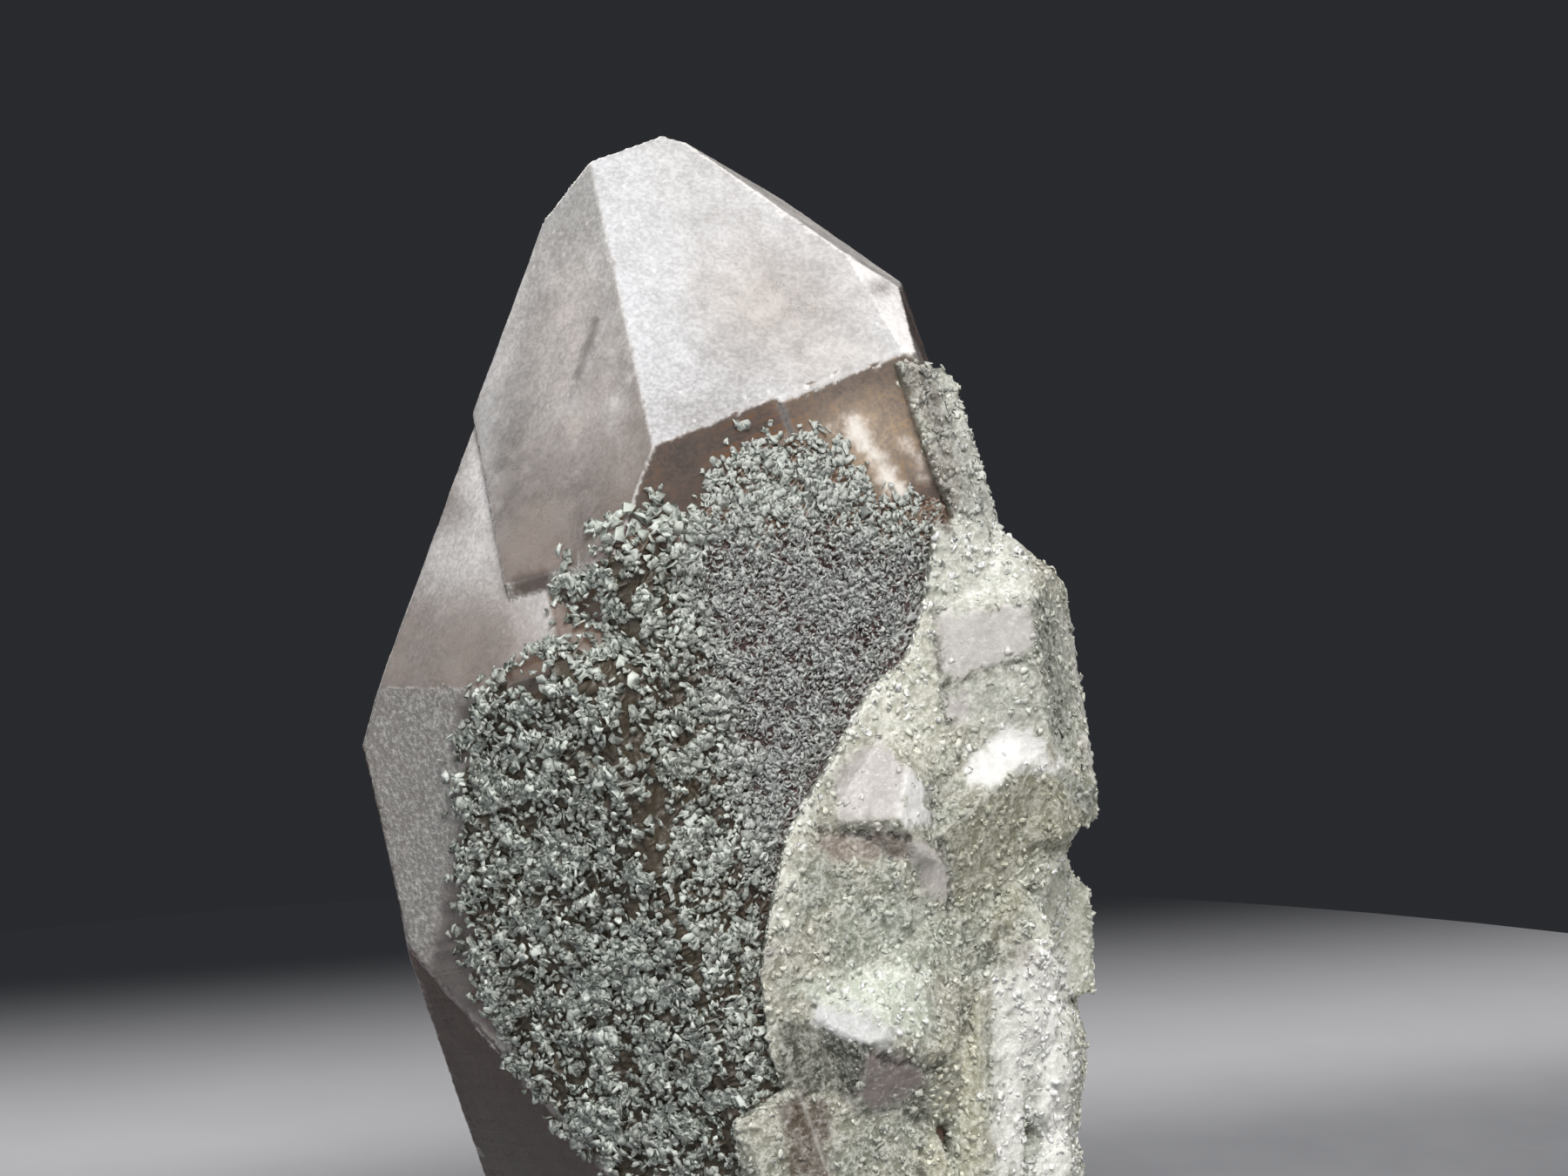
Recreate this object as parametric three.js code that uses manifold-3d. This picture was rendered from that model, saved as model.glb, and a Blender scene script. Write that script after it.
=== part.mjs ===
// A smoky quartz crystal about 49 mm tall, standing on the flat cut where it came off the rock.
// It is three pieces grown together: the smoky crystal itself, the chlorite crust on its front prism
// faces, and a group of smaller chlorite-dusted quartz crystals on its right flank and back.
// Units are millimetres, +Z up, and the viewer stands on the -Y side. The origin is the middle of the base.

import * as THREE from "three";
import { ConvexGeometry } from "three/addons/geometries/ConvexGeometry.js";
import { mergeVertices } from "three/addons/utils/BufferGeometryUtils.js";
import Module from "manifold-3d";

const wasm = await Module();
wasm.setup();

// Angles between a face normal and the crystal's long axis, in degrees.
const PRISM = 90;
const RHOMB = 51.8;

// Distances in millimetres.
const BASE_Z = -32.5;
const GAP = 0.3;
const CHLORITE_THICKNESS = 0.5;
const SIDE_BED_THICKNESS = 0.8;
const OUTLINE_DEPTH = 14;
const BELOW = 80;
const LUMP_DETAIL = 2;
const LUMP_RELIEF = 0.3;
const WELD = 1e-4;
const PLANE_SLACK = 1e-6;

// Where the large crystal's own axis passes, and how it leans and turns.
const MAIN_CENTRE = [-2.56, -0.11, -0.79];
const MAIN_LEAN = 19.4;
const MAIN_SPIN = 25.2;

const rad = THREE.MathUtils.degToRad;

// Solids and geometry

function solidFrom(geometry) {
  const bare = geometry.index ? geometry.toNonIndexed() : geometry.clone();
  const closed = mergeVertices(
    new THREE.BufferGeometry().setAttribute("position", bare.getAttribute("position")),
    WELD,
  );
  return new wasm.Manifold(
    new wasm.Mesh({
      numProp: 3,
      vertProperties: new Float32Array(closed.attributes.position.array),
      triVerts: new Uint32Array(closed.index.array),
    }),
  );
}

function geometryFrom(solid) {
  const mesh = solid.getMesh();
  const stride = mesh.numProp;
  const points = new Float32Array(mesh.numVert * 3);
  for (let i = 0; i < mesh.numVert; i += 1) {
    points.set(mesh.vertProperties.subarray(i * stride, i * stride + 3), i * 3);
  }
  const indexed = new THREE.BufferGeometry();
  indexed.setAttribute("position", new THREE.BufferAttribute(points, 3));
  indexed.setIndex(new THREE.BufferAttribute(new Uint32Array(mesh.triVerts), 1));
  const faceted = indexed.toNonIndexed();
  faceted.computeVertexNormals();
  return faceted;
}

function joined(solids) {
  return solids.reduce((sum, next) => sum.add(next));
}

// Crystals: every face is [azimuth, slope, distance]. Azimuth turns about the crystal's axis from the
// face nearest the viewer towards the right, slope is PRISM, RHOMB or an angle, and distance is from the centre.

function pose({ centre, lean, leanTo = 0, spin }) {
  const turn = new THREE.Matrix4().makeRotationZ(rad(leanTo));
  const back = new THREE.Matrix4().makeRotationZ(-rad(leanTo));
  return new THREE.Matrix4()
    .makeTranslation(...centre)
    .multiply(turn)
    .multiply(new THREE.Matrix4().makeRotationY(rad(lean)))
    .multiply(back)
    .multiply(new THREE.Matrix4().makeRotationZ(rad(spin)));
}

function planesOf(crystal, grow) {
  const place = pose(crystal);
  return crystal.faces.map(([azimuth, slope, distance]) => {
    const flat = Math.sin(rad(slope));
    const normal = new THREE.Vector3(
      Math.sin(rad(azimuth)) * flat,
      -Math.cos(rad(azimuth)) * flat,
      Math.cos(rad(slope)),
    );
    return new THREE.Plane(normal, -(distance + grow)).applyMatrix4(place);
  });
}

function cornersOf(planes) {
  const corners = [];
  const normals = new THREE.Matrix3();
  for (let a = 0; a < planes.length; a += 1) {
    for (let b = a + 1; b < planes.length; b += 1) {
      for (let c = b + 1; c < planes.length; c += 1) {
        const [p, q, r] = [planes[a], planes[b], planes[c]];
        normals.set(...p.normal.toArray(), ...q.normal.toArray(), ...r.normal.toArray());
        if (Math.abs(normals.determinant()) < PLANE_SLACK) continue;
        const corner = new THREE.Vector3(-p.constant, -q.constant, -r.constant);
        corner.applyMatrix3(normals.invert());
        const outside = planes.some((plane) => plane.distanceToPoint(corner) > WELD);
        if (!outside) corners.push(corner);
      }
    }
  }
  return corners;
}

function crystalSolid(crystal, grow = 0) {
  const floor = new THREE.Plane(new THREE.Vector3(0, 0, -1), BASE_Z);
  return solidFrom(new ConvexGeometry(cornersOf([...planesOf(crystal, grow), floor])));
}

// A six-sided crystal with one pointed end. Sides and tip are distances from the centre to the six prism
// faces and the six tip faces, in turn from the one nearest the viewer towards the right.
function pointedCrystal({ centre, lean, leanTo, spin, sides, tip, tail }) {
  const faces = [[0, 180, tail]];
  sides.forEach((distance, turn) => faces.push([turn * 60, PRISM, distance]));
  tip.forEach((distance, turn) => faces.push([turn * 60, RHOMB, distance]));
  return { centre, lean, leanTo, spin, faces };
}

// A small crystal of the crust. Its faces are a little uneven, and its point is tip times as far out as its
// sides.
function smallCrystal({ at, size, lean, leanTo, spin, tip, tail }) {
  const sides = [1, 0.92, 1.06, 0.95, 1.08, 0.9].map((share) => share * size);
  const ends = [1, 1.12, 0.94, 1.16, 1.02, 0.96].map((share) => share * size * tip);
  return pointedCrystal({ centre: at, lean, leanTo, spin, sides, tip: ends, tail });
}

// A crystal of which only some faces stand out of the crust: its faces are given upright in the room.
function uprightBlock(centre, faces) {
  return { centre, lean: 0, leanTo: 0, spin: 0, faces };
}

// A rounded lump of crust: a ball stretched to its three half sizes, with low swellings.
function lumpSolid({ at, size, phase }, grow) {
  const ball = new THREE.IcosahedronGeometry(1, LUMP_DETAIL);
  const points = ball.getAttribute("position");
  const point = new THREE.Vector3();
  const half = size.map((length) => length + grow);
  for (let i = 0; i < points.count; i += 1) {
    point.fromBufferAttribute(points, i).normalize();
    point.multiplyScalar(1 + LUMP_RELIEF * swelling(point, phase));
    points.setXYZ(i, point.x * half[0] + at[0], point.y * half[1] + at[1], point.z * half[2] + at[2]);
  }
  return solidFrom(ball);
}

function swelling({ x, y, z }, phase) {
  const broad = Math.sin(3.1 * x + phase) + Math.sin(2.7 * y + 2 * phase) + Math.sin(3.4 * z - phase);
  const fine = Math.sin(7.3 * x + 5.1 * z + phase) * Math.sin(6.7 * y - 4.3 * z + 3 * phase);
  return 0.25 * broad + 0.4 * fine;
}

// An upright wall of material behind an outline of [x, z] points, as seen by the viewer.
function outlineSolid(outline) {
  const shape = new THREE.Shape(outline.map(([x, z]) => new THREE.Vector2(x, z)));
  const wall = new THREE.ExtrudeGeometry(shape, { depth: OUTLINE_DEPTH, bevelEnabled: false });
  return solidFrom(wall.rotateX(Math.PI / 2));
}

// The large crystal: individuals grown side by side in one direction, with steps where they meet

function mainIndividual(faces) {
  return { centre: MAIN_CENTRE, lean: -MAIN_LEAN, leanTo: 0, spin: MAIN_SPIN, faces };
}

const CORNER_FACET = [28, 58];
const RIGHT_CONTACT = [64.5, 109.4];

const upperIndividual = mainIndividual([
  [0, RHOMB, 9.09],
  [60, RHOMB, 13.5],
  [120, RHOMB, 14.6],
  [180, RHOMB, 11.85],
  [-120, RHOMB, 10.7],
  [-60, RHOMB, 8.4],
  [0, PRISM, 6.07],
  [60, PRISM, 10.2],
  [120, PRISM, 8.2],
  [180, PRISM, 8.4],
  [-120, PRISM, 6.0],
  [-60, PRISM, 7.6],
  [...CORNER_FACET, 11.35],
  [...RIGHT_CONTACT, 11.3],
]);

const leftIndividual = mainIndividual([
  [-60, RHOMB, 8.05],
  [-120, RHOMB, 10.5],
  [180, RHOMB, 8.6],
  [0, RHOMB, 4.65],
  [0, PRISM, 6.02],
  [60, PRISM, 5],
  [120, PRISM, 6.4],
  [180, PRISM, 8.2],
  [-60, PRISM, 9.6],
  [-66, 84.4, 9.91],
  [-79.1, 100.3, 13.94],
  [-129, 83.2, 12.9],
  [...RIGHT_CONTACT, 11.2],
]);

// The lower left individual, which makes the long clear face down to the cut.
const lowerIndividual = mainIndividual([
  [-60, RHOMB, 8],
  [-120, RHOMB, 10.2],
  [180, RHOMB, 8.3],
  [0, RHOMB, 4.6],
  [0, PRISM, 5.97],
  [60, PRISM, 5],
  [120, PRISM, 6],
  [180, PRISM, 9.9],
  [-60, PRISM, 9.55],
  [150, PRISM, 8.6],
  [-66, 84.4, 9.86],
  [-79.1, 100.3, 13.97],
  [-129.5, 77.9, 12.1],
  [...RIGHT_CONTACT, 11.1],
]);

// A raised plate on the right of the front prism face, with its step edge along the crystal.
const frontPlate = mainIndividual([
  [0, RHOMB, 9.05],
  [...CORNER_FACET, 11.3],
  [60, RHOMB, 13.4],
  [120, RHOMB, 10],
  [180, RHOMB, 9],
  [-120, RHOMB, 8],
  [0, PRISM, 6.2],
  [60, PRISM, 10.1],
  [180, PRISM, 4],
  [-90, PRISM, -2.6],
  [...RIGHT_CONTACT, 11.25],
]);

function mainSolid(grow = 0) {
  const individuals = [upperIndividual, leftIndividual, lowerIndividual, frontPlate];
  return joined(individuals.map((crystal) => crystalSolid(crystal, grow)));
}

// The smaller crystals and the crust that carries them, on the right flank

const sideCrystals = [
  pointedCrystal({
    centre: [7.3, -1.2, -1.9],
    lean: -9,
    leanTo: 0,
    spin: 4,
    sides: [3.2, 2.9, 2.8, 3, 3.2, 3.2],
    tip: [3.6, 3.7, 3.1, 2.9, 3.4, 3.9],
    tail: 7,
  }),
  uprightBlock([7.4, -1.8, -9], [
    [33, 98, 2.7],
    [40, 59, 4.4],
    [51, 77, 4],
    [81, 115, 2.8],
    [112, 84, 3.6],
    [-3, 54, 4.5],
    [170, 48, 4.6],
    [-90, 100, 3.5],
    [180, 90, 4.5],
    [0, 180, 9],
  ]),
  uprightBlock([3.2, -5, -8], [
    [-16, 58, 2.6],
    [-15, 120, 1.75],
    [56, 78, 2.5],
    [71, 51, 2.95],
    [30, 130, 2.4],
    [-70, 75, 2.6],
    [180, 90, 3],
    [0, 180, 4],
  ]),
  uprightBlock([2.8, -6.4, -15.2], [
    [-11, 42, 2.65],
    [27, 114, 2.55],
    [-34, 106, 2.4],
    [-48, 83, 3.05],
    [43, 72, 2.85],
    [-5, 135, 3.05],
    [180, 90, 3],
    [90, 90, 3.5],
    [0, 180, 5],
  ]),
  uprightBlock([4.5, 2, 2], [
    [90, 73.3, 3.25],
    [90, 54, 4.58],
    [-8, 86, 3.2],
    [12, 52, 4.7],
    [164, 76, 2.2],
    [168, 50, 3.7],
    [-90, 90, -0.5],
    [0, 180, 6],
  ]),
  mainIndividual([
    [...CORNER_FACET, 12.1],
    [0, PRISM, 6.8],
    [-90, PRISM, -7.2],
    [60, PRISM, 10.6],
    [180, PRISM, -2.4],
    [60, 30, 10.55],
    [0, 180, 4],
  ]),
];

// Small crystals in the crust of the flank, from the ridge under the viewer round to the back.
const flankCrystals = [
  { at: [9.9, 2.5, -14.0], size: 1.85, lean: -3, leanTo: 0, spin: 31, tip: 1.25, tail: 1.7 },
  { at: [6.9, -4.9, -17.8], size: 1.6, lean: 8, leanTo: 90, spin: -24, tip: 2.2, tail: 5.5 },
  { at: [5.6, -6.4, -23.2], size: 1.3, lean: 8, leanTo: 90, spin: 40, tip: 1.6, tail: 8 },
  { at: [9.3, 4.6, -8.6], size: 1.5, lean: 14, leanTo: 30, spin: 8, tip: 1.4, tail: 5 },
  { at: [8.9, 1.2, -5.2], size: 1.7, lean: 5, leanTo: 20, spin: 20, tip: 1.1, tail: 6 },
  { at: [9.2, 5.2, -17.5], size: 2.2, lean: 10, leanTo: 40, spin: 25, tip: 1.3, tail: 7 },
  { at: [9.3, 4.4, -26.0], size: 2.4, lean: 8, leanTo: 10, spin: 5, tip: 1.2, tail: 8 },
  { at: [4.0, -7.4, -26.8], size: 1.8, lean: 9, leanTo: -70, spin: 16, tip: 1.1, tail: 7 },
  { at: [8.2, -5.6, -27.4], size: 2.1, lean: 12, leanTo: -45, spin: 38, tip: 1.2, tail: 7 },
  { at: [9.9, -0.8, -28.4], size: 1.9, lean: 10, leanTo: -10, spin: 22, tip: 1.3, tail: 7 },
  { at: [1.0, -8.6, -29.8], size: 1.3, lean: 12, leanTo: -110, spin: 4, tip: 1.2, tail: 5 },
];

const crustLumps = [
  { at: [7.6, -1.4, -6.4], size: [3.0, 3.2, 3.4], phase: 0.4 },
  { at: [2.3, -4.6, -10.8], size: [3.8, 2.7, 4.4], phase: 1.3 },
  { at: [5.3, -3.4, -12.4], size: [3.2, 2.4, 5.2], phase: 2.5 },
  { at: [8.0, -1.0, -13.6], size: [2.4, 2.9, 4.0], phase: 2.6 },
  { at: [8.1, -4.0, -15.2], size: [1.9, 1.7, 4.4], phase: 1.1 },
  { at: [6.6, -5.8, -24.6], size: [2.2, 1.9, 5.2], phase: 4.4 },
  { at: [9.0, -2.4, -18.4], size: [2.0, 2.9, 3.6], phase: 0.2 },
  { at: [8.9, -2.8, -22.9], size: [2.1, 3.3, 4.0], phase: 0.7 },
  { at: [9.2, 1.6, -17.8], size: [1.9, 2.6, 3.6], phase: 3.9 },
  { at: [3.9, -5.6, -23.8], size: [3.8, 2.8, 6.4], phase: 2.1 },
  { at: [5.2, -4.6, -29.5], size: [5.8, 4.3, 6.6], phase: 3.6 },
  { at: [8.4, -0.4, -30.0], size: [3.0, 5.6, 6.6], phase: 4.2 },
  { at: [8.6, 3.0, -21.8], size: [2.3, 4.2, 5.4], phase: 0.9 },
  { at: [8.6, 3.0, -12.2], size: [2.0, 3.6, 4.6], phase: 5.1 },
  { at: [8.4, 2.2, -5.4], size: [2.0, 2.8, 4.4], phase: 3.1 },
];

// Where the crust lies on the front of the large crystal, as [x, z] outlines.
const sideBedOutline = [
  [5.4, 2.8],
  [5.0, 0.1],
  [4.3, -2.0],
  [3.1, -2.8],
  [1.9, -4.9],
  [0.9, -6.4],
  [0.1, -7.8],
  [-0.5, -10.4],
  [-0.8, -12.5],
  [-0.5, -15.0],
  [0.1, -16.5],
  [-1.8, -17.5],
  [-1.5, -19.3],
  [-1.2, -26.0],
  [-1.6, -40.0],
  [7.0, -40.0],
  [5.0, -24.0],
  [3.4, -12.0],
  [7.0, -6.0],
  [7.4, 2.8],
];

const chloriteOutline = [
  [-5.0, 3.7],
  [-3.3, 3.3],
  [-2.3, 4.4],
  [-1.2, 5.9],
  [0.9, 6.1],
  [3.1, 4.2],
  [4.7, 2.8],
  [6.0, 2.3],
  [5.4, -0.2],
  [4.7, -2.4],
  [3.5, -3.3],
  [2.3, -5.3],
  [0.6, -8.1],
  [-0.1, -10.4],
  [-0.3, -13.1],
  [-0.1, -15.3],
  [0.4, -17.1],
  [-1.3, -18.3],
  [-1.0, -26.0],
  [-1.2, -31.7],
  [-2.6, -31.7],
  [-3.2, -28.8],
  [-4.4, -23.8],
  [-6.3, -20.7],
  [-8.2, -18.7],
  [-10.4, -15.6],
  [-11.5, -11.7],
  [-11.5, -6.3],
  [-10.5, -2.6],
  [-9.1, -1.6],
  [-7.9, -0.7],
  [-7.6, 1.3],
  [-6.0, 2.5],
];

// A coat on the large crystal, between two distances from its faces and inside an outline.
function coatSolid(from, to, outline) {
  return mainSolid(to).subtract(mainSolid(from)).intersect(outlineSolid(outline));
}

function sideSolid(grow = 0) {
  const shifted = sideBedOutline.map(([x, z]) => [x - grow, z + grow]);
  const crystals = [...sideCrystals, ...flankCrystals.map(smallCrystal)]
    .map((crystal) => crystalSolid(crystal, grow));
  const lumps = crustLumps.map((lump) => lumpSolid(lump, grow));
  const bed = coatSolid(GAP - grow, GAP + SIDE_BED_THICKNESS + grow, shifted);
  const below = new THREE.BoxGeometry(BELOW, BELOW, BELOW).translate(0, 0, BASE_Z - BELOW / 2);
  return joined([...crystals, ...lumps]).subtract(mainSolid(GAP - grow)).add(bed).subtract(solidFrom(below));
}

function chloriteSolid() {
  return coatSolid(GAP, GAP + CHLORITE_THICKNESS, chloriteOutline).subtract(sideSolid(GAP));
}

// The pieces

const material = {
  smoky: new THREE.MeshStandardMaterial({
    color: 0x8d7466,
    roughness: 0.15,
    metalness: 0,
    transparent: true,
    opacity: 0.55,
  }),
  dusted: new THREE.MeshStandardMaterial({ color: 0xa9a794, roughness: 0.85, metalness: 0 }),
  chlorite: new THREE.MeshStandardMaterial({ color: 0x7f8d80, roughness: 0.9, metalness: 0 }),
};

function piece(name, solid, look) {
  const mesh = new THREE.Mesh(geometryFrom(solid), look);
  mesh.name = name;
  return mesh;
}

const specimen = new THREE.Group();
specimen.add(
  piece("smoky_quartz_crystal", mainSolid(), material.smoky),
  piece("side_crystals", sideSolid(), material.dusted),
  piece("chlorite_crust", chloriteSolid(), material.chlorite),
);

// The specimen stands on the origin, with the middle of its width and depth over it.
const box = new THREE.Box3().setFromObject(specimen);
const middle = box.getCenter(new THREE.Vector3());
specimen.position.set(-middle.x, -middle.y, -box.min.z);

export default specimen;
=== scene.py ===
import math

import bmesh
import bpy
import numpy as np
from mathutils import Matrix, Vector
from mathutils.bvhtree import BVHTree
from mathutils.kdtree import KDTree


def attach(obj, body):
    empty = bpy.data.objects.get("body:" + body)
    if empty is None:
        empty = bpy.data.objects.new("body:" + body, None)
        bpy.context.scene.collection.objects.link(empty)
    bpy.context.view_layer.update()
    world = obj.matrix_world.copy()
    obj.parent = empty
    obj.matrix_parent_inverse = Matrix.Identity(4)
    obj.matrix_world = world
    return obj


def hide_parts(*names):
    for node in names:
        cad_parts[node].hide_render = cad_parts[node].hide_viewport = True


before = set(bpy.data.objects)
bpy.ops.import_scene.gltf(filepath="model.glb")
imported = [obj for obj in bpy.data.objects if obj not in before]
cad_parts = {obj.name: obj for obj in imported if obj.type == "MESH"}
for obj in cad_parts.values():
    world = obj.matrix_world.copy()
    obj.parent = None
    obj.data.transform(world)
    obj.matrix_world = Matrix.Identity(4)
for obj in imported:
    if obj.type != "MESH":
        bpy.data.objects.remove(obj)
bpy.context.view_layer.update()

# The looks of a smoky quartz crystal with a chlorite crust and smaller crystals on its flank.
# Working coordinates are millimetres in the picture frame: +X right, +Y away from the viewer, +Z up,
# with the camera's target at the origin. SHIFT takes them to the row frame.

MM = 0.001
SHIFT = np.array([1.646, 0.311, 32.5])
FLOOR_Z = -32.5

# The camera: long lens, looking slightly down.
LENS = 85.0
CAMERA_DISTANCE = 136.0
CAMERA_ELEVATION = math.radians(8.0)

# The large crystal's directions, as in the solids.
MAIN_CENTRE = np.array([-2.56, -0.11, -0.79])
MAIN_LEAN = math.radians(-19.4)
MAIN_SPIN = math.radians(25.2)
PRISM = 90.0
RHOMB = 51.8

# How finely the solids are remade, in mm, and how many triangles each keeps.
QUARTZ_VOXEL, QUARTZ_TRIANGLES = 0.11, 145000
SIDE_VOXEL, SIDE_TRIANGLES = 0.10, 170000

SEED = 7
rng = np.random.default_rng(SEED)


# Noise

NOISE_TABLE = rng.permutation(256)
NOISE_SLOPES = rng.normal(size=(256, 3))
NOISE_SLOPES /= np.linalg.norm(NOISE_SLOPES, axis=1)[:, None]


def noise(points, size, seed=0):
    """Smooth noise from about -1 to 1 at each point, with features of that size in mm."""
    q = np.asarray(points) / size + seed * 13.7
    cell = np.floor(q).astype(np.int64)
    f = q - cell
    u = f * f * f * (f * (f * 6 - 15) + 10)
    total = np.zeros(len(q))
    for corner in np.ndindex(2, 2, 2):
        key, weight = 0, 1.0
        for axis, step in enumerate(corner):
            key = NOISE_TABLE[(key + cell[:, axis] + step) & 255]
            weight = weight * (u[:, axis] if step else 1 - u[:, axis])
        total += weight * ((f - corner) * NOISE_SLOPES[key]).sum(axis=1)
    return np.clip(total * 1.7, -1, 1)


def ridges(points, size, seed, width):
    """1 along winding lines, falling to 0 beside them."""
    return np.exp(-((noise(points, size, seed) / width) ** 2))


def layered(points, size, seed=0, layers=3):
    """Noise with finer layers added, each half as large and half as strong as the last."""
    total = np.zeros(len(points))
    for k in range(layers):
        total += noise(points, size / 2**k, seed + k) / 2**k
    return total / (2 - 0.5 ** (layers - 1))


def smooth(low, high, x):
    """A soft step of x from 0 at low to 1 at high."""
    t = np.clip((x - low) / (high - low), 0, 1)
    return t * t * (3 - 2 * t)


def mix(a, b, t):
    """Colour a where t is 0 and colour b where it is 1."""
    a, b = np.asarray(a, float), np.asarray(b, float)
    t = np.asarray(t)[:, None]
    return a * (1 - t) + b * t


# Meshes

def object_from(name, points, faces):
    """A mesh object from points in mm and an array of triangles or quads."""
    faces = np.asarray(faces, np.int32)
    corners = faces.shape[1]
    me = bpy.data.meshes.new(name)
    me.vertices.add(len(points))
    me.vertices.foreach_set("co", ((np.asarray(points) + SHIFT) * MM).astype(np.float32).ravel())
    me.loops.add(faces.size)
    me.loops.foreach_set("vertex_index", faces.ravel())
    me.polygons.add(len(faces))
    me.polygons.foreach_set("loop_start", np.arange(0, faces.size, corners, dtype=np.int32))
    me.update(calc_edges=True)
    me.validate()
    obj = bpy.data.objects.new(name, me)
    bpy.context.scene.collection.objects.link(obj)
    return obj


def triples(items, name, kind=np.float32):
    """Three values of each item of a mesh, as one array."""
    values = np.empty(len(items) * 3, kind)
    items.foreach_get(name, values)
    return values.reshape(-1, 3)


def points_of(me):
    return triples(me.vertices, "co").astype(float)


def triangles_of(me):
    me.calc_loop_triangles()
    return triples(me.loop_triangles, "vertices", np.int32)


def node_mesh(name):
    """A welded copy of a node's mesh in working coordinates."""
    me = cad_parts[name].data.copy()
    me.transform(Matrix.Translation(Vector(-SHIFT)) @ Matrix.Scale(1 / MM, 4))
    bm = bmesh.new()
    bm.from_mesh(me)
    bmesh.ops.remove_doubles(bm, verts=bm.verts, dist=1e-4)
    bm.to_mesh(me)
    bm.free()
    return me


def made_by(work, kind, **settings):
    """The mesh that a modifier makes of the work object's mesh."""
    modifier = work.modifiers.new("work", kind)
    for name, value in settings.items():
        setattr(modifier, name, value)
    graph = bpy.context.evaluated_depsgraph_get()
    made = bpy.data.meshes.new_from_object(work.evaluated_get(graph))
    bpy.data.objects.remove(work)
    return points_of(made), triples(made.vertex_normals, "vector").astype(float), triangles_of(made)


def remeshed(me, voxel):
    """Points, normals and triangles of a solid remade from even voxels."""
    work = bpy.data.objects.new("work", me)
    bpy.context.scene.collection.objects.link(work)
    return made_by(work, "REMESH", mode="VOXEL", voxel_size=voxel)


def thinned(points, triangles, budget):
    """The same skin with that many triangles."""
    work = object_from("work", points, triangles)
    ratio = budget / len(triangles)
    points, normals, triangles = made_by(work, "DECIMATE", ratio=ratio, use_collapse_triangulate=True)
    return points / MM - SHIFT, normals, triangles


def keep_above_floor(points):
    points[:, 2] = np.maximum(points[:, 2], FLOOR_Z)


def tree_of(me):
    return BVHTree.FromPolygons([Vector(p) for p in points_of(me)], triangles_of(me).tolist())


def loose_frames(normals, lean, picker):
    """Directions up, ahead and across for each small piece, each leaning its own way."""
    up = normals + picker.normal(scale=lean, size=normals.shape)
    up /= np.linalg.norm(up, axis=1)[:, None]
    ahead = np.cross(up, picker.normal(size=normals.shape))
    ahead /= np.linalg.norm(ahead, axis=1)[:, None]
    return up, ahead, np.cross(up, ahead)


def ring_walls(first, second, sides):
    """Triangles between two rings of points that start at those numbers."""
    faces = []
    for k in range(sides):
        a, b, step = first + k, first + (k + 1) % sides, second - first
        faces += [(a, a + step, b + step), (a, b + step, b)]
    return faces


def repeated(one, count, size):
    """The faces of that many copies of one piece with that many points."""
    return (np.array(one)[None] + (np.arange(count) * size)[:, None, None]).reshape(-1, 3)


def plates(places, normals, sizes, thickness, tilt, sides):
    """Many small closed plates as one mesh: each a ragged polygon with its own tilt."""
    count = len(places)
    picker = np.random.default_rng(SEED + count)
    spin = picker.uniform(0, 2 * math.pi, count)
    loose, side, other = loose_frames(normals, tilt, picker)
    angle = spin[:, None] + np.arange(sides) * 2 * math.pi / sides + picker.normal(scale=0.18, size=(count, sides))
    reach = sizes[:, None] * picker.uniform(0.35, 0.62, (count, sides))
    ring = (
        side[:, None, :] * (np.cos(angle) * reach)[..., None]
        + other[:, None, :] * (np.sin(angle) * reach * 0.8)[..., None]
    )
    half = loose[:, None, :] * (thickness * sizes)[:, None, None] / 2
    points = np.concatenate([places[:, None] + ring * 0.86 + half, places[:, None] + ring - half], axis=1)
    one = ring_walls(0, sides, sides)
    for k in range(1, sides - 1):
        one += [(0, k, k + 1), (sides, sides + k + 1, sides + k)]
    return points.reshape(-1, 3), repeated(one, count, 2 * sides)


def disc_faces(rings, spokes):
    """Triangles of a disc: rings of points round a middle one."""
    faces = [(0, 1 + k, 1 + (k + 1) % spokes) for k in range(spokes)]
    for r in range(rings - 1):
        faces += ring_walls(1 + r * spokes, 1 + (r + 1) * spokes, spokes)
    return np.array(faces)


EDGE_STEP = 0.05


def edge_distance(me, points, angle=14.0):
    """Distance in mm from each point to the nearest edge where two faces meet at more than that many degrees."""
    bm = bmesh.new()
    bm.from_mesh(me)
    spots = []
    for edge in bm.edges:
        if len(edge.link_faces) == 2 and edge.calc_face_angle() > math.radians(angle):
            a, b = (v.co for v in edge.verts)
            steps = max(2, int((b - a).length / EDGE_STEP))
            spots += [a.lerp(b, k / steps) for k in range(steps + 1)]
    bm.free()
    finder = KDTree(len(spots))
    for k, place in enumerate(spots):
        finder.insert(place, k)
    finder.balance()
    return np.array([finder.find(p)[2] for p in points.tolist()])


def give(obj, **layers):
    """Values or colours for each point of the mesh, under their names."""
    for name, values in layers.items():
        values = np.asarray(values, np.float32)
        if values.ndim == 1:
            obj.data.attributes.new(name, "FLOAT", "POINT").data.foreach_set("value", values)
        else:
            rgba = np.concatenate([values, np.ones((len(values), 1), np.float32)], axis=1)
            obj.data.attributes.new(name, "FLOAT_COLOR", "POINT").data.foreach_set("color", rgba.ravel())


def dress(obj, material, smooth_shaded=True):
    """One material for the whole piece, which rides the root."""
    obj.data.materials.clear()
    obj.data.materials.append(material)
    obj.data.polygons.foreach_set("use_smooth", np.full(len(obj.data.polygons), smooth_shaded))
    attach(obj, "root")
    return obj


# Crystal directions

def turned(axis, angle):
    return np.array(Matrix.Rotation(angle, 3, axis))


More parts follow.
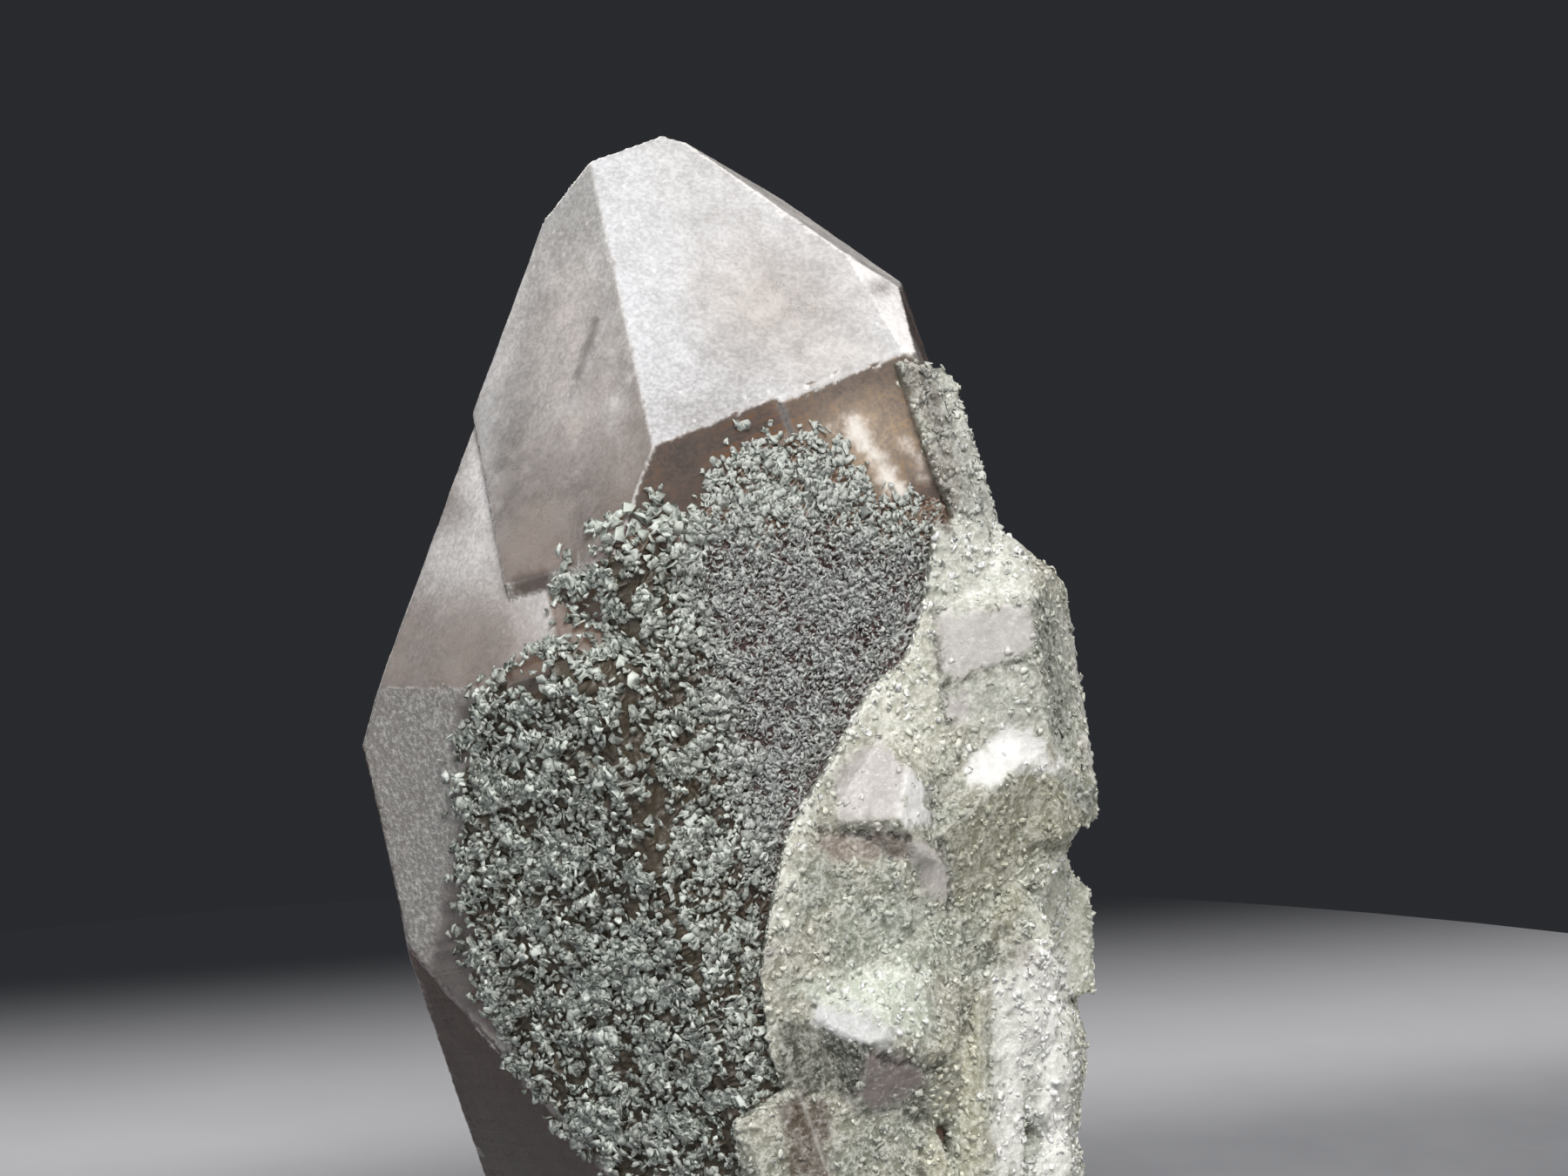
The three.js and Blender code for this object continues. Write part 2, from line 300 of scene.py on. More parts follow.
MAIN_TURN = turned("Y", MAIN_LEAN) @ turned("Z", MAIN_SPIN)
MAIN_AXIS = MAIN_TURN @ np.array([0.0, 0.0, 1.0])


def face_normal(azimuth, slope):
    """A crystal face's normal, from its turn about the long axis and its slope from it in degrees."""
    a, s = math.radians(azimuth), math.radians(slope)
    return MAIN_TURN @ np.array([math.sin(a) * math.sin(s), -math.cos(a) * math.sin(s), math.cos(s)])


def face_depth(points, azimuth, slope):
    """How far each point is from the crystal's centre along a face's normal."""
    return (points - MAIN_CENTRE) @ face_normal(azimuth, slope)


def facing(normals, azimuth, slope, tight=0.955):
    """1 where the surface faces the same way as that crystal face."""
    return smooth(tight - 0.012, tight, normals @ face_normal(azimuth, slope))


# Where a point appears in the picture, in pixels of the 1800 by 1350 frame

RIGHT = np.array([1.0, 0.0, 0.0])
AHEAD = np.array([0.0, math.cos(CAMERA_ELEVATION), -math.sin(CAMERA_ELEVATION)])
UP = np.array([0.0, math.sin(CAMERA_ELEVATION), math.cos(CAMERA_ELEVATION)])
SENSOR = 36.0
PICTURE_WIDTH, PICTURE_HEIGHT = 1800, 1350
PIXELS = LENS / SENSOR * PICTURE_WIDTH


def picture(points):
    """Where each point shows, in pixels from the picture's left and top."""
    scale = PIXELS / (CAMERA_DISTANCE + points @ AHEAD)
    return PICTURE_WIDTH / 2 + scale * (points @ RIGHT), PICTURE_HEIGHT / 2 - scale * (points @ UP)


def beside(x, y, a, b):
    """Signed distance in pixels of a picture point from the line a to b, positive on its right."""
    (ax, ay), (bx, by) = a, b
    return ((x - ax) * (by - ay) - (y - ay) * (bx - ax)) / math.hypot(bx - ax, by - ay)


def within(x, y, corners):
    """Signed distance in pixels from an outline in the picture, positive inside it."""
    inside = np.zeros(len(x), bool)
    for (ax, ay), (bx, by) in zip(corners, corners[1:] + corners[:1]):
        crosses = (ay > y) != (by > y)
        inside ^= crosses & (x < ax + (y - ay) * (bx - ax) / ((by - ay) or 1e-9))
    nearest = along(x, y, corners + corners[:1])
    return np.where(inside, nearest, -nearest)


def along(x, y, corners):
    """Distance in pixels from a line through points in the picture."""
    nearest = np.full(len(x), 1e9)
    for (ax, ay), (bx, by) in zip(corners, corners[1:]):
        t = np.clip(((x - ax) * (bx - ax) + (y - ay) * (by - ay)) / ((bx - ax) ** 2 + (by - ay) ** 2), 0, 1)
        nearest = np.minimum(nearest, np.hypot(x - ax - t * (bx - ax), y - ay - t * (by - ay)))
    return nearest


EYE = -CAMERA_DISTANCE * AHEAD
QUARTZ_IOR = 1.544


def sight(px, py):
    """The line of sight through a picture point."""
    line = AHEAD + RIGHT * (px - PICTURE_WIDTH / 2) / PIXELS + UP * (PICTURE_HEIGHT / 2 - py) / PIXELS
    return line / np.linalg.norm(line)


def behind(tree, px, py, depth):
    """The point inside the quartz, that deep along the bent line of sight, and the line's direction there."""
    line = sight(px, py)
    hit, normal, _, _ = tree.ray_cast(Vector(EYE), Vector(line))
    normal = np.array(normal)
    ratio = 1 / QUARTZ_IOR
    cosine = -normal @ line
    bent = ratio * line + (ratio * cosine - math.sqrt(1 - ratio**2 * (1 - cosine**2))) * normal
    return np.array(hit) + bent * depth, bent


# Shader building

# The colour sockets of a Mix node: two inputs and an output.
MIX_FIRST, MIX_SECOND, MIX_RESULT = 6, 7, 2


class Look:
    """A new material, with short calls for its nodes. Each gives the output of a new node."""

    def __init__(self, name):
        self.m = bpy.data.materials.new(name)
        self.m.use_nodes = True
        self.tree = self.m.node_tree
        for n in list(self.tree.nodes):
            if n.type != "OUTPUT_MATERIAL":
                self.tree.nodes.remove(n)
        self.output = self.tree.nodes[0]
        self.main = self.tree.nodes.new("ShaderNodeBsdfPrincipled")
        self.link(self.main.outputs[0], self.output.inputs["Surface"])
        self.place = self.node("TexCoord", {}, "Object")

    def link(self, a, b):
        self.tree.links.new(a, b)

    def put(self, socket, value):
        if isinstance(value, (int, float, tuple)):
            socket.default_value = value
        else:
            self.link(value, socket)

    def set(self, name, value):
        """An input of the main shader."""
        self.put(self.main.inputs[name], value)

    def node(self, kind, inputs, output=0, **settings):
        n = self.tree.nodes.new("ShaderNode" + kind)
        for name, value in settings.items():
            setattr(n, name, value)
        for name, value in inputs.items():
            self.put(n.inputs[name], value)
        return n.outputs[output]

    def attribute(self, name, output="Fac"):
        return self.node("Attribute", {}, output, attribute_name=name)

    def tone(self):
        return self.attribute("tone", "Color")

    def values(self, *names):
        return [self.attribute(name) for name in names]

    def stretched(self, turn, stretch):
        return self.node("Mapping", {"Rotation": turn, "Scale": stretch, "Vector": self.place})

    def noise(self, size, detail=2.0, rough=0.5, place=None):
        where = {"Vector": place or self.place, "Scale": 1 / (size * MM)}
        return self.node("TexNoise", where | {"Detail": detail, "Roughness": rough}, "Fac")

    def cells(self, size, place=None):
        return self.node("TexVoronoi", {"Vector": place or self.place, "Scale": 1 / (size * MM)}, "Distance")

    def reach(self, direction):
        """How far a place is along a direction."""
        return self.node("VectorMath", {0: self.place, 1: tuple(direction)}, "Value", operation="DOT_PRODUCT")

    def bands(self, direction, size, bend):
        """Uneven parallel bands across a direction, a little bent."""
        level = self.sum(self.reach(direction), self.times(self.noise(4.0, 1.0), bend * MM))
        inputs = {"W": level, "Scale": 1 / (size * MM), "Detail": 3.0, "Roughness": 0.7}
        return self.node("TexNoise", inputs, "Fac", noise_dimensions="1D")

    def sum(self, a, b, how="ADD", clamp=False):
        return self.node("Math", {0: a, 1: b}, operation=how, use_clamp=clamp)

    def times(self, a, b, clamp=False):
        return self.sum(a, b, "MULTIPLY", clamp)

    def step(self, value, low, high, to_low=0.0, to_high=1.0):
        """A soft step of a value."""
        inputs = {"Value": value, "From Min": low, "From Max": high, "To Min": to_low, "To Max": to_high}
        return self.node("MapRange", inputs, "Result", interpolation_type="SMOOTHSTEP")

    def blend(self, factor, a, b, how="MIX"):
        a, b = (c + (1.0,) if isinstance(c, tuple) else c for c in (a, b))
        inputs = {0: factor, MIX_FIRST: a, MIX_SECOND: b}
        return self.node("Mix", inputs, MIX_RESULT, data_type="RGBA", blend_type=how)

    def grey(self, colour):
        return self.node("RGBToBW", {0: colour})

    def bump(self, height, depth, strength=1.0, normal=None):
        inputs = {"Height": height, "Distance": depth * MM, "Strength": strength}
        return self.node("Bump", inputs | ({"Normal": normal} if normal else {}))

    def veiled(self, cover, tone, clear=0.96):
        """Makes the body clear but for a share that is covered by matter of that tone."""
        body = self.blend(cover, (clear, clear, clear), tone)
        let_through = self.times(self.sum(1.0, cover, "SUBTRACT", clamp=True), clear)
        self.set("Base Color", body)
        self.set("Transmission Weight", self.sum(let_through, self.grey(body), "DIVIDE", clamp=True))


# The large crystal

def crystal_material():
    s = Look("smoky_quartz")
    frost, sand, rim, striped = s.values("frost", "sand", "rim", "striped")
    tone = s.tone()
    slanted = s.stretched((0.0, math.radians(40), math.radians(10)), (1.0, 1.0, 0.80))
    etched = s.noise(0.30, 3.0, 0.65, slanted)
    lines = s.bands(MAIN_AXIS, 0.45, 0.35)
    ribbed = s.times(striped, s.step(s.noise(3.0, 2.0), 0.42, 0.60))
    mottle = s.noise(1.1, 4.0, 0.62)
    fine = s.noise(0.15, 2.0, 0.6)
    grit = s.noise(0.19, 3.0, 0.75)
    broken = s.step(s.sum(s.times(etched, 0.40), s.times(fine, 0.60)), 0.38, 0.64)
    cover = s.times(frost, s.sum(s.times(broken, 0.26), s.sum(s.times(mottle, 0.56), 0.60)), clamp=True)
    cover = s.times(cover, s.sum(1.0, s.times(ribbed, s.step(lines, 0.38, 0.64, -0.16, 0.20))), clamp=True)
    # Edges whitened, partly by wear and partly by a painted highlight along them.
    wear_and_edge_highlight = s.times(s.step(s.sum(rim, s.times(fine, 0.12)), 0.135, 0.075), s.step(mottle, 0.35, 0.60))
    cover = s.sum(cover, s.times(wear_and_edge_highlight, 0.10), clamp=True)
    frosty = s.times(s.step(frost, 0.42, 0.80), s.step(s.grey(tone), 0.30, 0.55))
    white = s.blend(s.times(broken, s.times(frosty, 0.30)), tone, (0.88, 0.87, 0.88))
    # White flecks, partly painted glints.
    flecks_and_glints = s.times(s.step(s.cells(0.55, slanted), 0.17, 0.09), s.step(s.noise(1.6), 0.50, 0.58))
    flecks_and_glints = s.times(flecks_and_glints, frosty)
    white = s.blend(s.times(flecks_and_glints, 0.9), white, (0.97, 0.97, 0.97))
    white = s.blend(s.times(wear_and_edge_highlight, 0.25), white, (0.90, 0.89, 0.88))
    dark_grain = s.blend(0.50, tone, (0.14, 0.13, 0.12))
    pale_grain = s.blend(0.45, tone, (0.92, 0.92, 0.88))
    white = s.blend(sand, white, s.blend(s.step(grit, 0.42, 0.70), dark_grain, pale_grain))
    s.set("IOR", QUARTZ_IOR)
    s.veiled(cover, white)
    s.set("Roughness", s.step(cover, 0.0, 0.9, 0.06, 0.50))
    relief = s.sum(s.times(etched, 0.5), s.times(fine, 0.35))
    shallow = s.bump(s.times(relief, s.sum(frost, 0.05)), 0.024, 0.7)
    grooved = s.bump(s.times(lines, ribbed), 0.016, 0.6, shallow)
    s.set("Normal", s.bump(s.times(grit, sand), 0.06, 0.9, grooved))
    inside = s.node("VolumeAbsorption", {"Color": (0.78, 0.52, 0.30, 1.0), "Density": 105.0})
    s.link(inside, s.output.inputs["Volume"])
    return s.m


def prism_share(normals, low=0.60, high=0.80):
    """1 where the surface runs along the crystal's long axis."""
    return smooth(low, high, 1 - np.abs(normals @ MAIN_AXIS))


# The left border and the top border of two faces, a leaf-shaped crack, lines of light that shines back from
# inside, the clear strip between the sanded left side and the crust, and the brown glassy steps on the left of
# the crust, as they show in the picture.
A_EDGE = [(672, 200), (700, 300), (735, 420), (745, 460)]
M0_TOP = [(905, 447), (1040, 398)]
B_CRACK = [(699, 350), (690, 372), (683, 398), (672, 424), (658, 452), (648, 486), (652, 450), (662, 418),
           (668, 392), (678, 368)]
GLOW_LINES = [
    ([(980, 486), (993, 508)], 12, 1.0),
    ([(1006, 526), (1032, 570)], 13, 0.85),
    ([(1042, 508), (1062, 546)], 11, 0.45),
    ([(900, 505), (960, 490)], 10, 0.35),
    ([(842, 552), (866, 534)], 9, 0.55),
]
D_BARE = [(520, 805), (640, 790), (640, 1210), (560, 1190), (484, 1131), (500, 1060), (522, 960), (528, 880)]
BROWN_STEPS = [
    [(584, 660), (630, 653), (633, 676), (590, 686)],
    [(576, 764), (634, 738), (640, 800), (580, 800)],
    [(628, 676), (700, 660), (700, 760), (640, 742)],
]


def painted(tone, *coats):
    """The tone under coats of other colours, each with its share at each point."""
    for colour, share in coats:
        tone = mix(tone, colour, share)
    return tone


def crystal_looks(points, normals):
    """How frosted each point is, how sandy, and the colour of its frost, which carries a painted glow on the top face
    and on the front prism face.
    """
    x, y = picture(points)
    patch = layered(points, 2.6, 3)
    fine = layered(points, 0.8, 9)
    prism = prism_share(normals)
    dusty = smooth(0.05, 0.35, layered(points, 4.0, 33)) * prism
    frost = 0.58 - 0.34 * prism + 0.14 * patch + 0.28 * dusty
    sand = 0.8 * dusty
    tone = painted((0.80, 0.765, 0.735), ((0.36, 0.27, 0.215), prism), ((0.50, 0.46, 0.41), dusty))

    def near(left, top, wide, high):
        """1 at a picture point, falling to 0 at that reach."""
        return 1 - smooth(0.0, 1.0, np.hypot((x - left) / wide, (y - top) / high))

    def face(mask, new_frost, new_tone, new_sand=0.0):
        nonlocal frost, tone, sand
        frost = frost * (1 - mask) + mask * new_frost
        tone = mix(tone, new_tone, mask)
        sand = sand * (1 - mask) + mask * new_sand

    clear = near(890, 350, 150, 110) + 0.5 * near(960, 420, 90, 60)
    icy = smooth(120, 10, along(x, y, A_EDGE) + 20 * patch)
    streak = smooth(0.15, 0.5, layered(points, 0.9, 37))
    cloud = layered(points, 1.5, 41)
    a_tone = painted(
        (0.80, 0.80, 0.815),
        ((0.95, 0.88, 0.845), np.clip(clear, 0, 1)),
        ((0.73, 0.745, 0.785), icy),
        ((0.50, 0.495, 0.51), near(800, 480, 150, 110)),
        # Painted glow: a bright warm spot on the top face.
        ((1.0, 0.97, 0.94), 0.8 * near(955, 408, 75, 36)),
        ((0.97, 0.97, 0.98), 0.8 * streak * near(815, 440, 80, 50)),
    )
    a_tone = mix(a_tone, a_tone * 0.82, 0.6 * smooth(0.05, 0.45, cloud) * (1 - clear))
    a_frost = 0.74 - 0.26 * clear + 0.12 * icy + 0.14 * cloud + 0.10 * fine
    face(facing(normals, 0, RHOMB), a_frost, a_tone)

    b_all = facing(normals, -60, RHOMB)
    is_b = smooth(8.18, 8.28, face_depth(points, -60, RHOMB))
    down = smooth(240, 640, y)
    heart = near(655, 430, 95, 220)
    b_frost = 0.68 - 0.22 * down + 0.05 * heart + 0.14 * patch + 0.10 * fine
    crack = smooth(-2, 4, within(x, y, B_CRACK) + 2.0 * fine)
    leftward = x + 0.12 * (y - 500)
    # White flecks on the left, partly painted glints.
    flecks_and_glints = smooth(0.25, 0.55, noise(points, 0.33, 43)) * smooth(600, 560, leftward)
    milk = smooth(0.0, 0.4, layered(points, 0.8, 44)) * near(705, 430, 45, 100)
    b_tone = painted(
        (0.51, 0.51, 0.495),
        ((0.47, 0.385, 0.34), down),
        ((0.80, 0.70, 0.65), heart * 0.9),
        ((0.93, 0.89, 0.87), 0.6 * smooth(0.1, 0.5, layered(points, 1.1, 39)) * heart),
        ((0.88, 0.87, 0.86), smooth(595, 550, leftward) * 0.8),
        ((0.17, 0.155, 0.145), 0.8 * crack),
        ((0.92, 0.91, 0.90), 0.7 * flecks_and_glints),
        ((0.97, 0.93, 0.91), 0.8 * milk),
    )
    face(b_all * is_b, b_frost + 0.2 * crack + 0.2 * milk, b_tone)

    clear_right = smooth(-70, 50, beside(x, y, (600, 740), (545, 560)))
    c_top = np.maximum(near(560, 560, 60, 90), near(525, 640, 110, 90))
    c_tone = painted((0.86, 0.84, 0.835), ((0.47, 0.38, 0.335), clear_right), ((0.73, 0.72, 0.71), 0.85 * c_top))
    face(b_all * (1 - is_b), 0.74 - 0.26 * clear_right + 0.30 * c_top + 0.12 * patch, c_tone)

    ragged = 7 * layered(points, 0.9, 15)
    bare = smooth(-4, 12, within(x, y, D_BARE) + ragged)
    d_tone = mix((0.47, 0.45, 0.415), (0.34, 0.24, 0.20), bare)
    face(facing(normals, -66, 84.4, 0.965), 0.84 - 0.40 * bare, d_tone, 1 - bare)

    g_tone = mix((0.062, 0.022, 0.006), (0.070, 0.042, 0.025), smooth(1200, 1340, y))
    face(facing(normals, -79.1, 100.3, 0.985), 0.74 + 0.10 * patch, g_tone)

    front = facing(normals, 0, PRISM)
    # Painted glow: a lighter golden pool on the front prism face round the lines of light.
    painted_glow = near(995, 500, 115, 120)
    shine = np.zeros(len(points))
    for line, wide, bright in GLOW_LINES:
        far = along(x, y, line) + 8 * layered(points, 0.5, 35)
        shine = np.maximum(shine, bright * np.exp(-np.clip(far / wide, 0, None) ** 2))
    shine *= 0.55 + 0.45 * smooth(-0.35, 0.15, layered(points, 0.45, 36))
    m0_tone = painted(
        (0.185, 0.080, 0.030),
        ((0.56, 0.385, 0.225), painted_glow),
        ((0.25, 0.155, 0.085), 0.75 * smooth(42, 10, along(x, y, M0_TOP))),
        ((1.0, 0.93, 0.84), smooth(0.1, 0.8, shine)),
    )
    face(front, np.clip(0.76 + 0.10 * patch + 0.20 * shine, 0, 0.95), m0_tone)

    in_front = normals[:, 1] < 0.1
    for corners in BROWN_STEPS:
        face(smooth(-3, 4, within(x, y, corners)) * in_front, 0.55, (0.27, 0.165, 0.10))
    grey = near(1012, 330, 26, 18)[:, None]
    face(facing(normals, 28, 58), 0.90 + 0.15 * fine, [1.0, 0.97, 0.96] - grey * [0.62, 0.62, 0.62])
    return np.clip(frost, 0, 1), np.clip(sand, 0, 1), np.clip(tone, 0, 1)


def brown_share(points, x, y):
    """1 on the brown steps, with a ragged border."""
    wander = 8 * noise(points, 0.6, 45)
    return np.max([smooth(0, 14, within(x, y, corners) + wander) for corners in BROWN_STEPS], axis=0)


# How deep a chip at an edge is, and how far above the cut the skin is smooth, in mm.
CHIP_DEPTH = 0.06
SMOOTH_FOOT = 0.5


def make_crystal():
    """The large crystal: the solid's skin with a slight swell, growth steps across the prism faces and chips."""
    solid = node_mesh("smoky_quartz_crystal")
    points, normals, triangles = remeshed(solid, QUARTZ_VOXEL)
    depth = (points - MAIN_CENTRE) @ MAIN_AXIS
    prism = prism_share(normals, 0.90, 0.99)
    swell = 0.030 * layered(points, 2.4, 21) + 0.012 * noise(points, 0.6, 25)
    steps = np.floor(depth * 2.2 + 1.3 * noise(points, 2.6, 5)) % 3
    swell += (0.004 * np.sin(depth * 14 + 2.5 * noise(points, 3.0, 6)) + 0.004 * steps) * prism
    chipped = smooth(0.10, 0.0, edge_distance(solid, points)) * smooth(0.2, 0.7, noise(points, 0.5, 27))
    swell = (swell - CHIP_DEPTH * chipped) * smooth(0.0, SMOOTH_FOOT, points[:, 2] - FLOOR_Z)
    points, normals, triangles = thinned(points + normals * swell[:, None], triangles, QUARTZ_TRIANGLES)
    frost, sand, tone = crystal_looks(points, normals)
    keep_above_floor(points)
    obj = object_from("quartz_point", points, triangles)
    give(obj, frost=frost, sand=sand, tone=tone)
    give(obj, rim=edge_distance(solid, points), striped=prism_share(normals) * (1 - sand))
    dress(obj, crystal_material())
    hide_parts("smoky_quartz_crystal")


VEIL_RINGS, VEIL_SPOKES = 12, 36
# In mm, the last one the least quartz over a veil.
VEIL_THICKNESS = 0.03
VEIL_COVER_DEPTH = 0.28
# Healed cracks and veils inside the large crystal: thin crumpled sheets behind a place in the picture. Each is
# that place, its depth, half length and half width in mm, the turn of its long side from level and its tilt
# towards the light in degrees, how much of it is covered, how even it is, and its colour. The pale golden colour
# of the first five is partly painted reflection: they lie under the lines of light and the bright spot of the top
# face.
VEILS = [
    ((986, 494), 0.8, 1.00, 0.70, 55, 30, 1.00, 1.0, (1.0, 0.95, 0.86)),
    ((1014, 540), 1.1, 1.45, 0.70, -62, 28, 0.95, 0.6, (1.0, 0.87, 0.74)),
    ((1052, 548), 1.1, 0.75, 0.18, 62, 30, 0.90, 0.5, (1.0, 0.82, 0.68)),
    ((857, 545), 0.9, 0.90, 0.40, 35, 32, 0.80, 0.2, (0.98, 0.82, 0.66)),
    ((955, 408), 1.2, 1.9, 0.75, 22, 25, 0.95, 0.7, (1.0, 0.93, 0.88)),
    ((870, 345), 1.9, 3.4, 1.8, -20, 20, 0.75, 0.3, (0.96, 0.87, 0.83)),
    ((760, 300), 2.4, 2.4, 2.0, 60, 20, 0.60, 0.3, (0.90, 0.87, 0.86)),
    ((600, 528), 1.0, 1.6, 0.9, 35, 15, 0.85, 0.2, (0.92, 0.90, 0.90)),
    ((668, 470), 1.2, 1.9, 0.8, 60, 20, 0.90, 0.3, (1.0, 0.89, 0.84)),
    ((655, 330), 1.6, 1.9, 0.8, 80, 20, 0.70, 0.3, (0.96, 0.86, 0.80)),
    ((676, 414), 0.75, 2.2, 0.20, 66, 0, 1.0, 0.8, (0.15, 0.14, 0.135)),
    ((618, 600), 1.2, 2.4, 1.2, 20, 20, 0.5, 0.1, (0.85, 0.68, 0.56)),
    ((545, 720), 1.4, 2.4, 1.2, 60, 15, 0.65, 0.2, (0.92, 0.84, 0.80)),
    ((480, 900), 1.4, 2.6, 0.9, 75, 10, 0.60, 0.2, (0.85, 0.78, 0.74)),
    ((560, 1230), 3.0, 3.2, 1.2, -65, 10, 0.25, 0.1, (0.40, 0.32, 0.27)),
]


def veil_sheet(tree, centre, line, long, wide, turn, tilt):
    """A thin closed elliptical sheet, crumpled, that stays inside the quartz, and how far out each point is."""
    a, lean = math.radians(turn), math.radians(tilt)
    side = RIGHT * math.cos(a) + UP * math.sin(a)
    side -= line * (side @ line)
    side /= np.linalg.norm(side)
    other = np.cross(line, side)
    if other @ UP < 0:
        other = -other
    other = other * math.cos(lean) + line * math.sin(lean)
    face = np.cross(side, other)
    face *= -np.sign(face @ line)
    rings, spokes = VEIL_RINGS, VEIL_SPOKES
    out = np.concatenate([[0.0], np.repeat(np.arange(1, rings + 1) / rings, spokes)])
    angle = np.concatenate([[0.0], np.tile(np.arange(spokes) * 2 * math.pi / spokes, rings)])
    wave = 1 + 0.18 * np.sin(3 * angle + turn) + 0.10 * np.sin(7 * angle + 2 * turn)
    flat = np.outer(out * wave * np.cos(angle) * long, side) + np.outer(out * wave * np.sin(angle) * wide, other)
    places = centre + flat
    crumple = 0.16 * noise(places, 1.1, turn) + 0.06 * noise(places, 0.35, tilt + 3)
    front = places + np.outer(crumple, face)
    for k, p in enumerate(front.tolist()):
        near, normal, _, _ = tree.find_nearest(p)
        near, normal = np.array(near), np.array(normal)
        if (near - front[k]) @ normal < VEIL_COVER_DEPTH:
            front[k] = near - normal * VEIL_COVER_DEPTH
    back = front - face * VEIL_THICKNESS
    count = len(front)
    one = disc_faces(rings, spokes)
    rim = count - spokes
    faces = np.concatenate([one, one[:, ::-1] + count, ring_walls(rim, rim + count, spokes)])
    if np.cross(front[one[0, 1]] - front[0], front[one[0, 2]] - front[0]) @ face <= 0:
        faces = faces[:, ::-1]
    return np.concatenate([front, back]), faces, np.concatenate([out, out])


def make_veils():
    tree = tree_of(node_mesh("smoky_quartz_crystal"))
    points, faces, tones, covers = [], [], [], []
    total = 0
    for (px, py), depth, long, wide, turn, tilt, full, even, colour in VEILS:
        centre, line = behind(tree, px, py, depth)
        sheet, skin, out = veil_sheet(tree, centre, line, long, wide, turn, tilt)
        patches = even + (1 - even) * smooth(-0.15, 0.25, layered(sheet, 0.7, 230 + turn))
        points.append(sheet)
        faces.append(skin + total)
        total += len(sheet)
        covers.append(full * patches * smooth(1.0, 0.45, out))
        tones.append(np.tile(colour, (len(sheet), 1)))
    obj = object_from("inner_veils", np.concatenate(points), np.concatenate(faces))
    give(obj, tone=np.concatenate(tones), cover=np.concatenate(covers))
    s = Look("inner_veil")
    wisps = s.step(s.noise(0.60, 3.0, 0.6), 0.30, 0.65, 0.75, 1.0)
    mottle = s.step(s.noise(0.3, 2.0, 0.6), 0.3, 0.7, 0.0, 0.25)
    tone = s.blend(mottle, s.tone(), (1.0, 0.98, 0.95))
    s.veiled(s.times(s.attribute("cover"), wisps, clamp=True), tone, 1.0)
    s.set("IOR", 1.001)
    s.set("Roughness", 0.30)
    dress(obj, s.m)


# The chlorite crust

# Where the crust is coarse and where it is a fine web, left and right of this line in the picture.
GRAIN_LINE = ((770, 560), (880, 1050))
# A dark furrow in the coarse part.
FURROW = [(712, 800), (722, 850), (735, 890), (757, 931), (752, 985)]


def crust_relief(points):
    """Height of the crust above the crystal in mm at each point, and how coarse it is there."""
    x, y = picture(points)
    coarse = smooth(-45, 45, -beside(x, y, *GRAIN_LINE) + 18 * layered(points, 1.6, 29))
    web = np.maximum(ridges(points, 0.36, 31, 0.16), 0.85 * ridges(points, 0.30, 47, 0.17))
    web *= 0.75 + 0.35 * noise(points, 0.7, 53)
    grains = ridges(points, 0.50, 83, 0.22)
    clump = layered(points, 1.2, 61)
    fine = 0.06 + 0.26 * web + 0.05 * layered(points, 1.8, 91)
    rough = 0.13 + 0.13 * web + 0.20 * grains * smooth(-0.4, 0.4, clump) + 0.20 * clump
    furrow = smooth(16, 6, along(x, y, FURROW) + 14 * noise(points, 0.5, 95))
    return (fine * (1 - coarse) + rough * coarse) * (1 - 0.6 * furrow), coarse


def top_share(points):
    """1 where the crust thins out towards its upper end."""
    return smooth(650, 585, picture(points)[1] + 30 * noise(points, 1.4, 207))


def shrunk(mask, round_corners):
    """The mask without the cells at its border."""
    later, sooner, whole = slice(1, None), slice(None, -1), slice(None)
    ways = [((later, whole), (sooner, whole)), ((whole, later), (whole, sooner))]
    if round_corners:
        ways += [((later, later), (sooner, sooner)), ((later, sooner), (sooner, later))]
    small = mask.copy()
    for a, b in ways:
        small[a] &= mask[b]
        small[b] &= mask[a]
    return small


def from_border(mask, steps):
    """Cells from the mask's border: positive inside it, negative outside."""
    value = np.zeros(mask.shape)
    for sign, current in ((1, mask), (-1, ~mask)):
        for k in range(steps):
            value += sign * current
            current = shrunk(current, k % 2)
    return value


# The crust's grid step, how far past its border the grid reaches, how deep its back lies under the crystal's
# surface, its greatest height, and the level where it is split in two pieces, in mm.
CRUST_STEP = 0.056
CRUST_REACH = 1.3
CRUST_SINK = 0.10
CRUST_HEIGHT = 0.60
CRUST_SPLIT_Z = -9.5
# Near its border the crust reaches up to the side crystals where they are this close, and fades out beyond.
FLANK_BAND = 0.7
FLANK_NEAR = 0.5
FLANK_FADE = 0.9
# Rays start in front of everything.
RAY_Y = -30


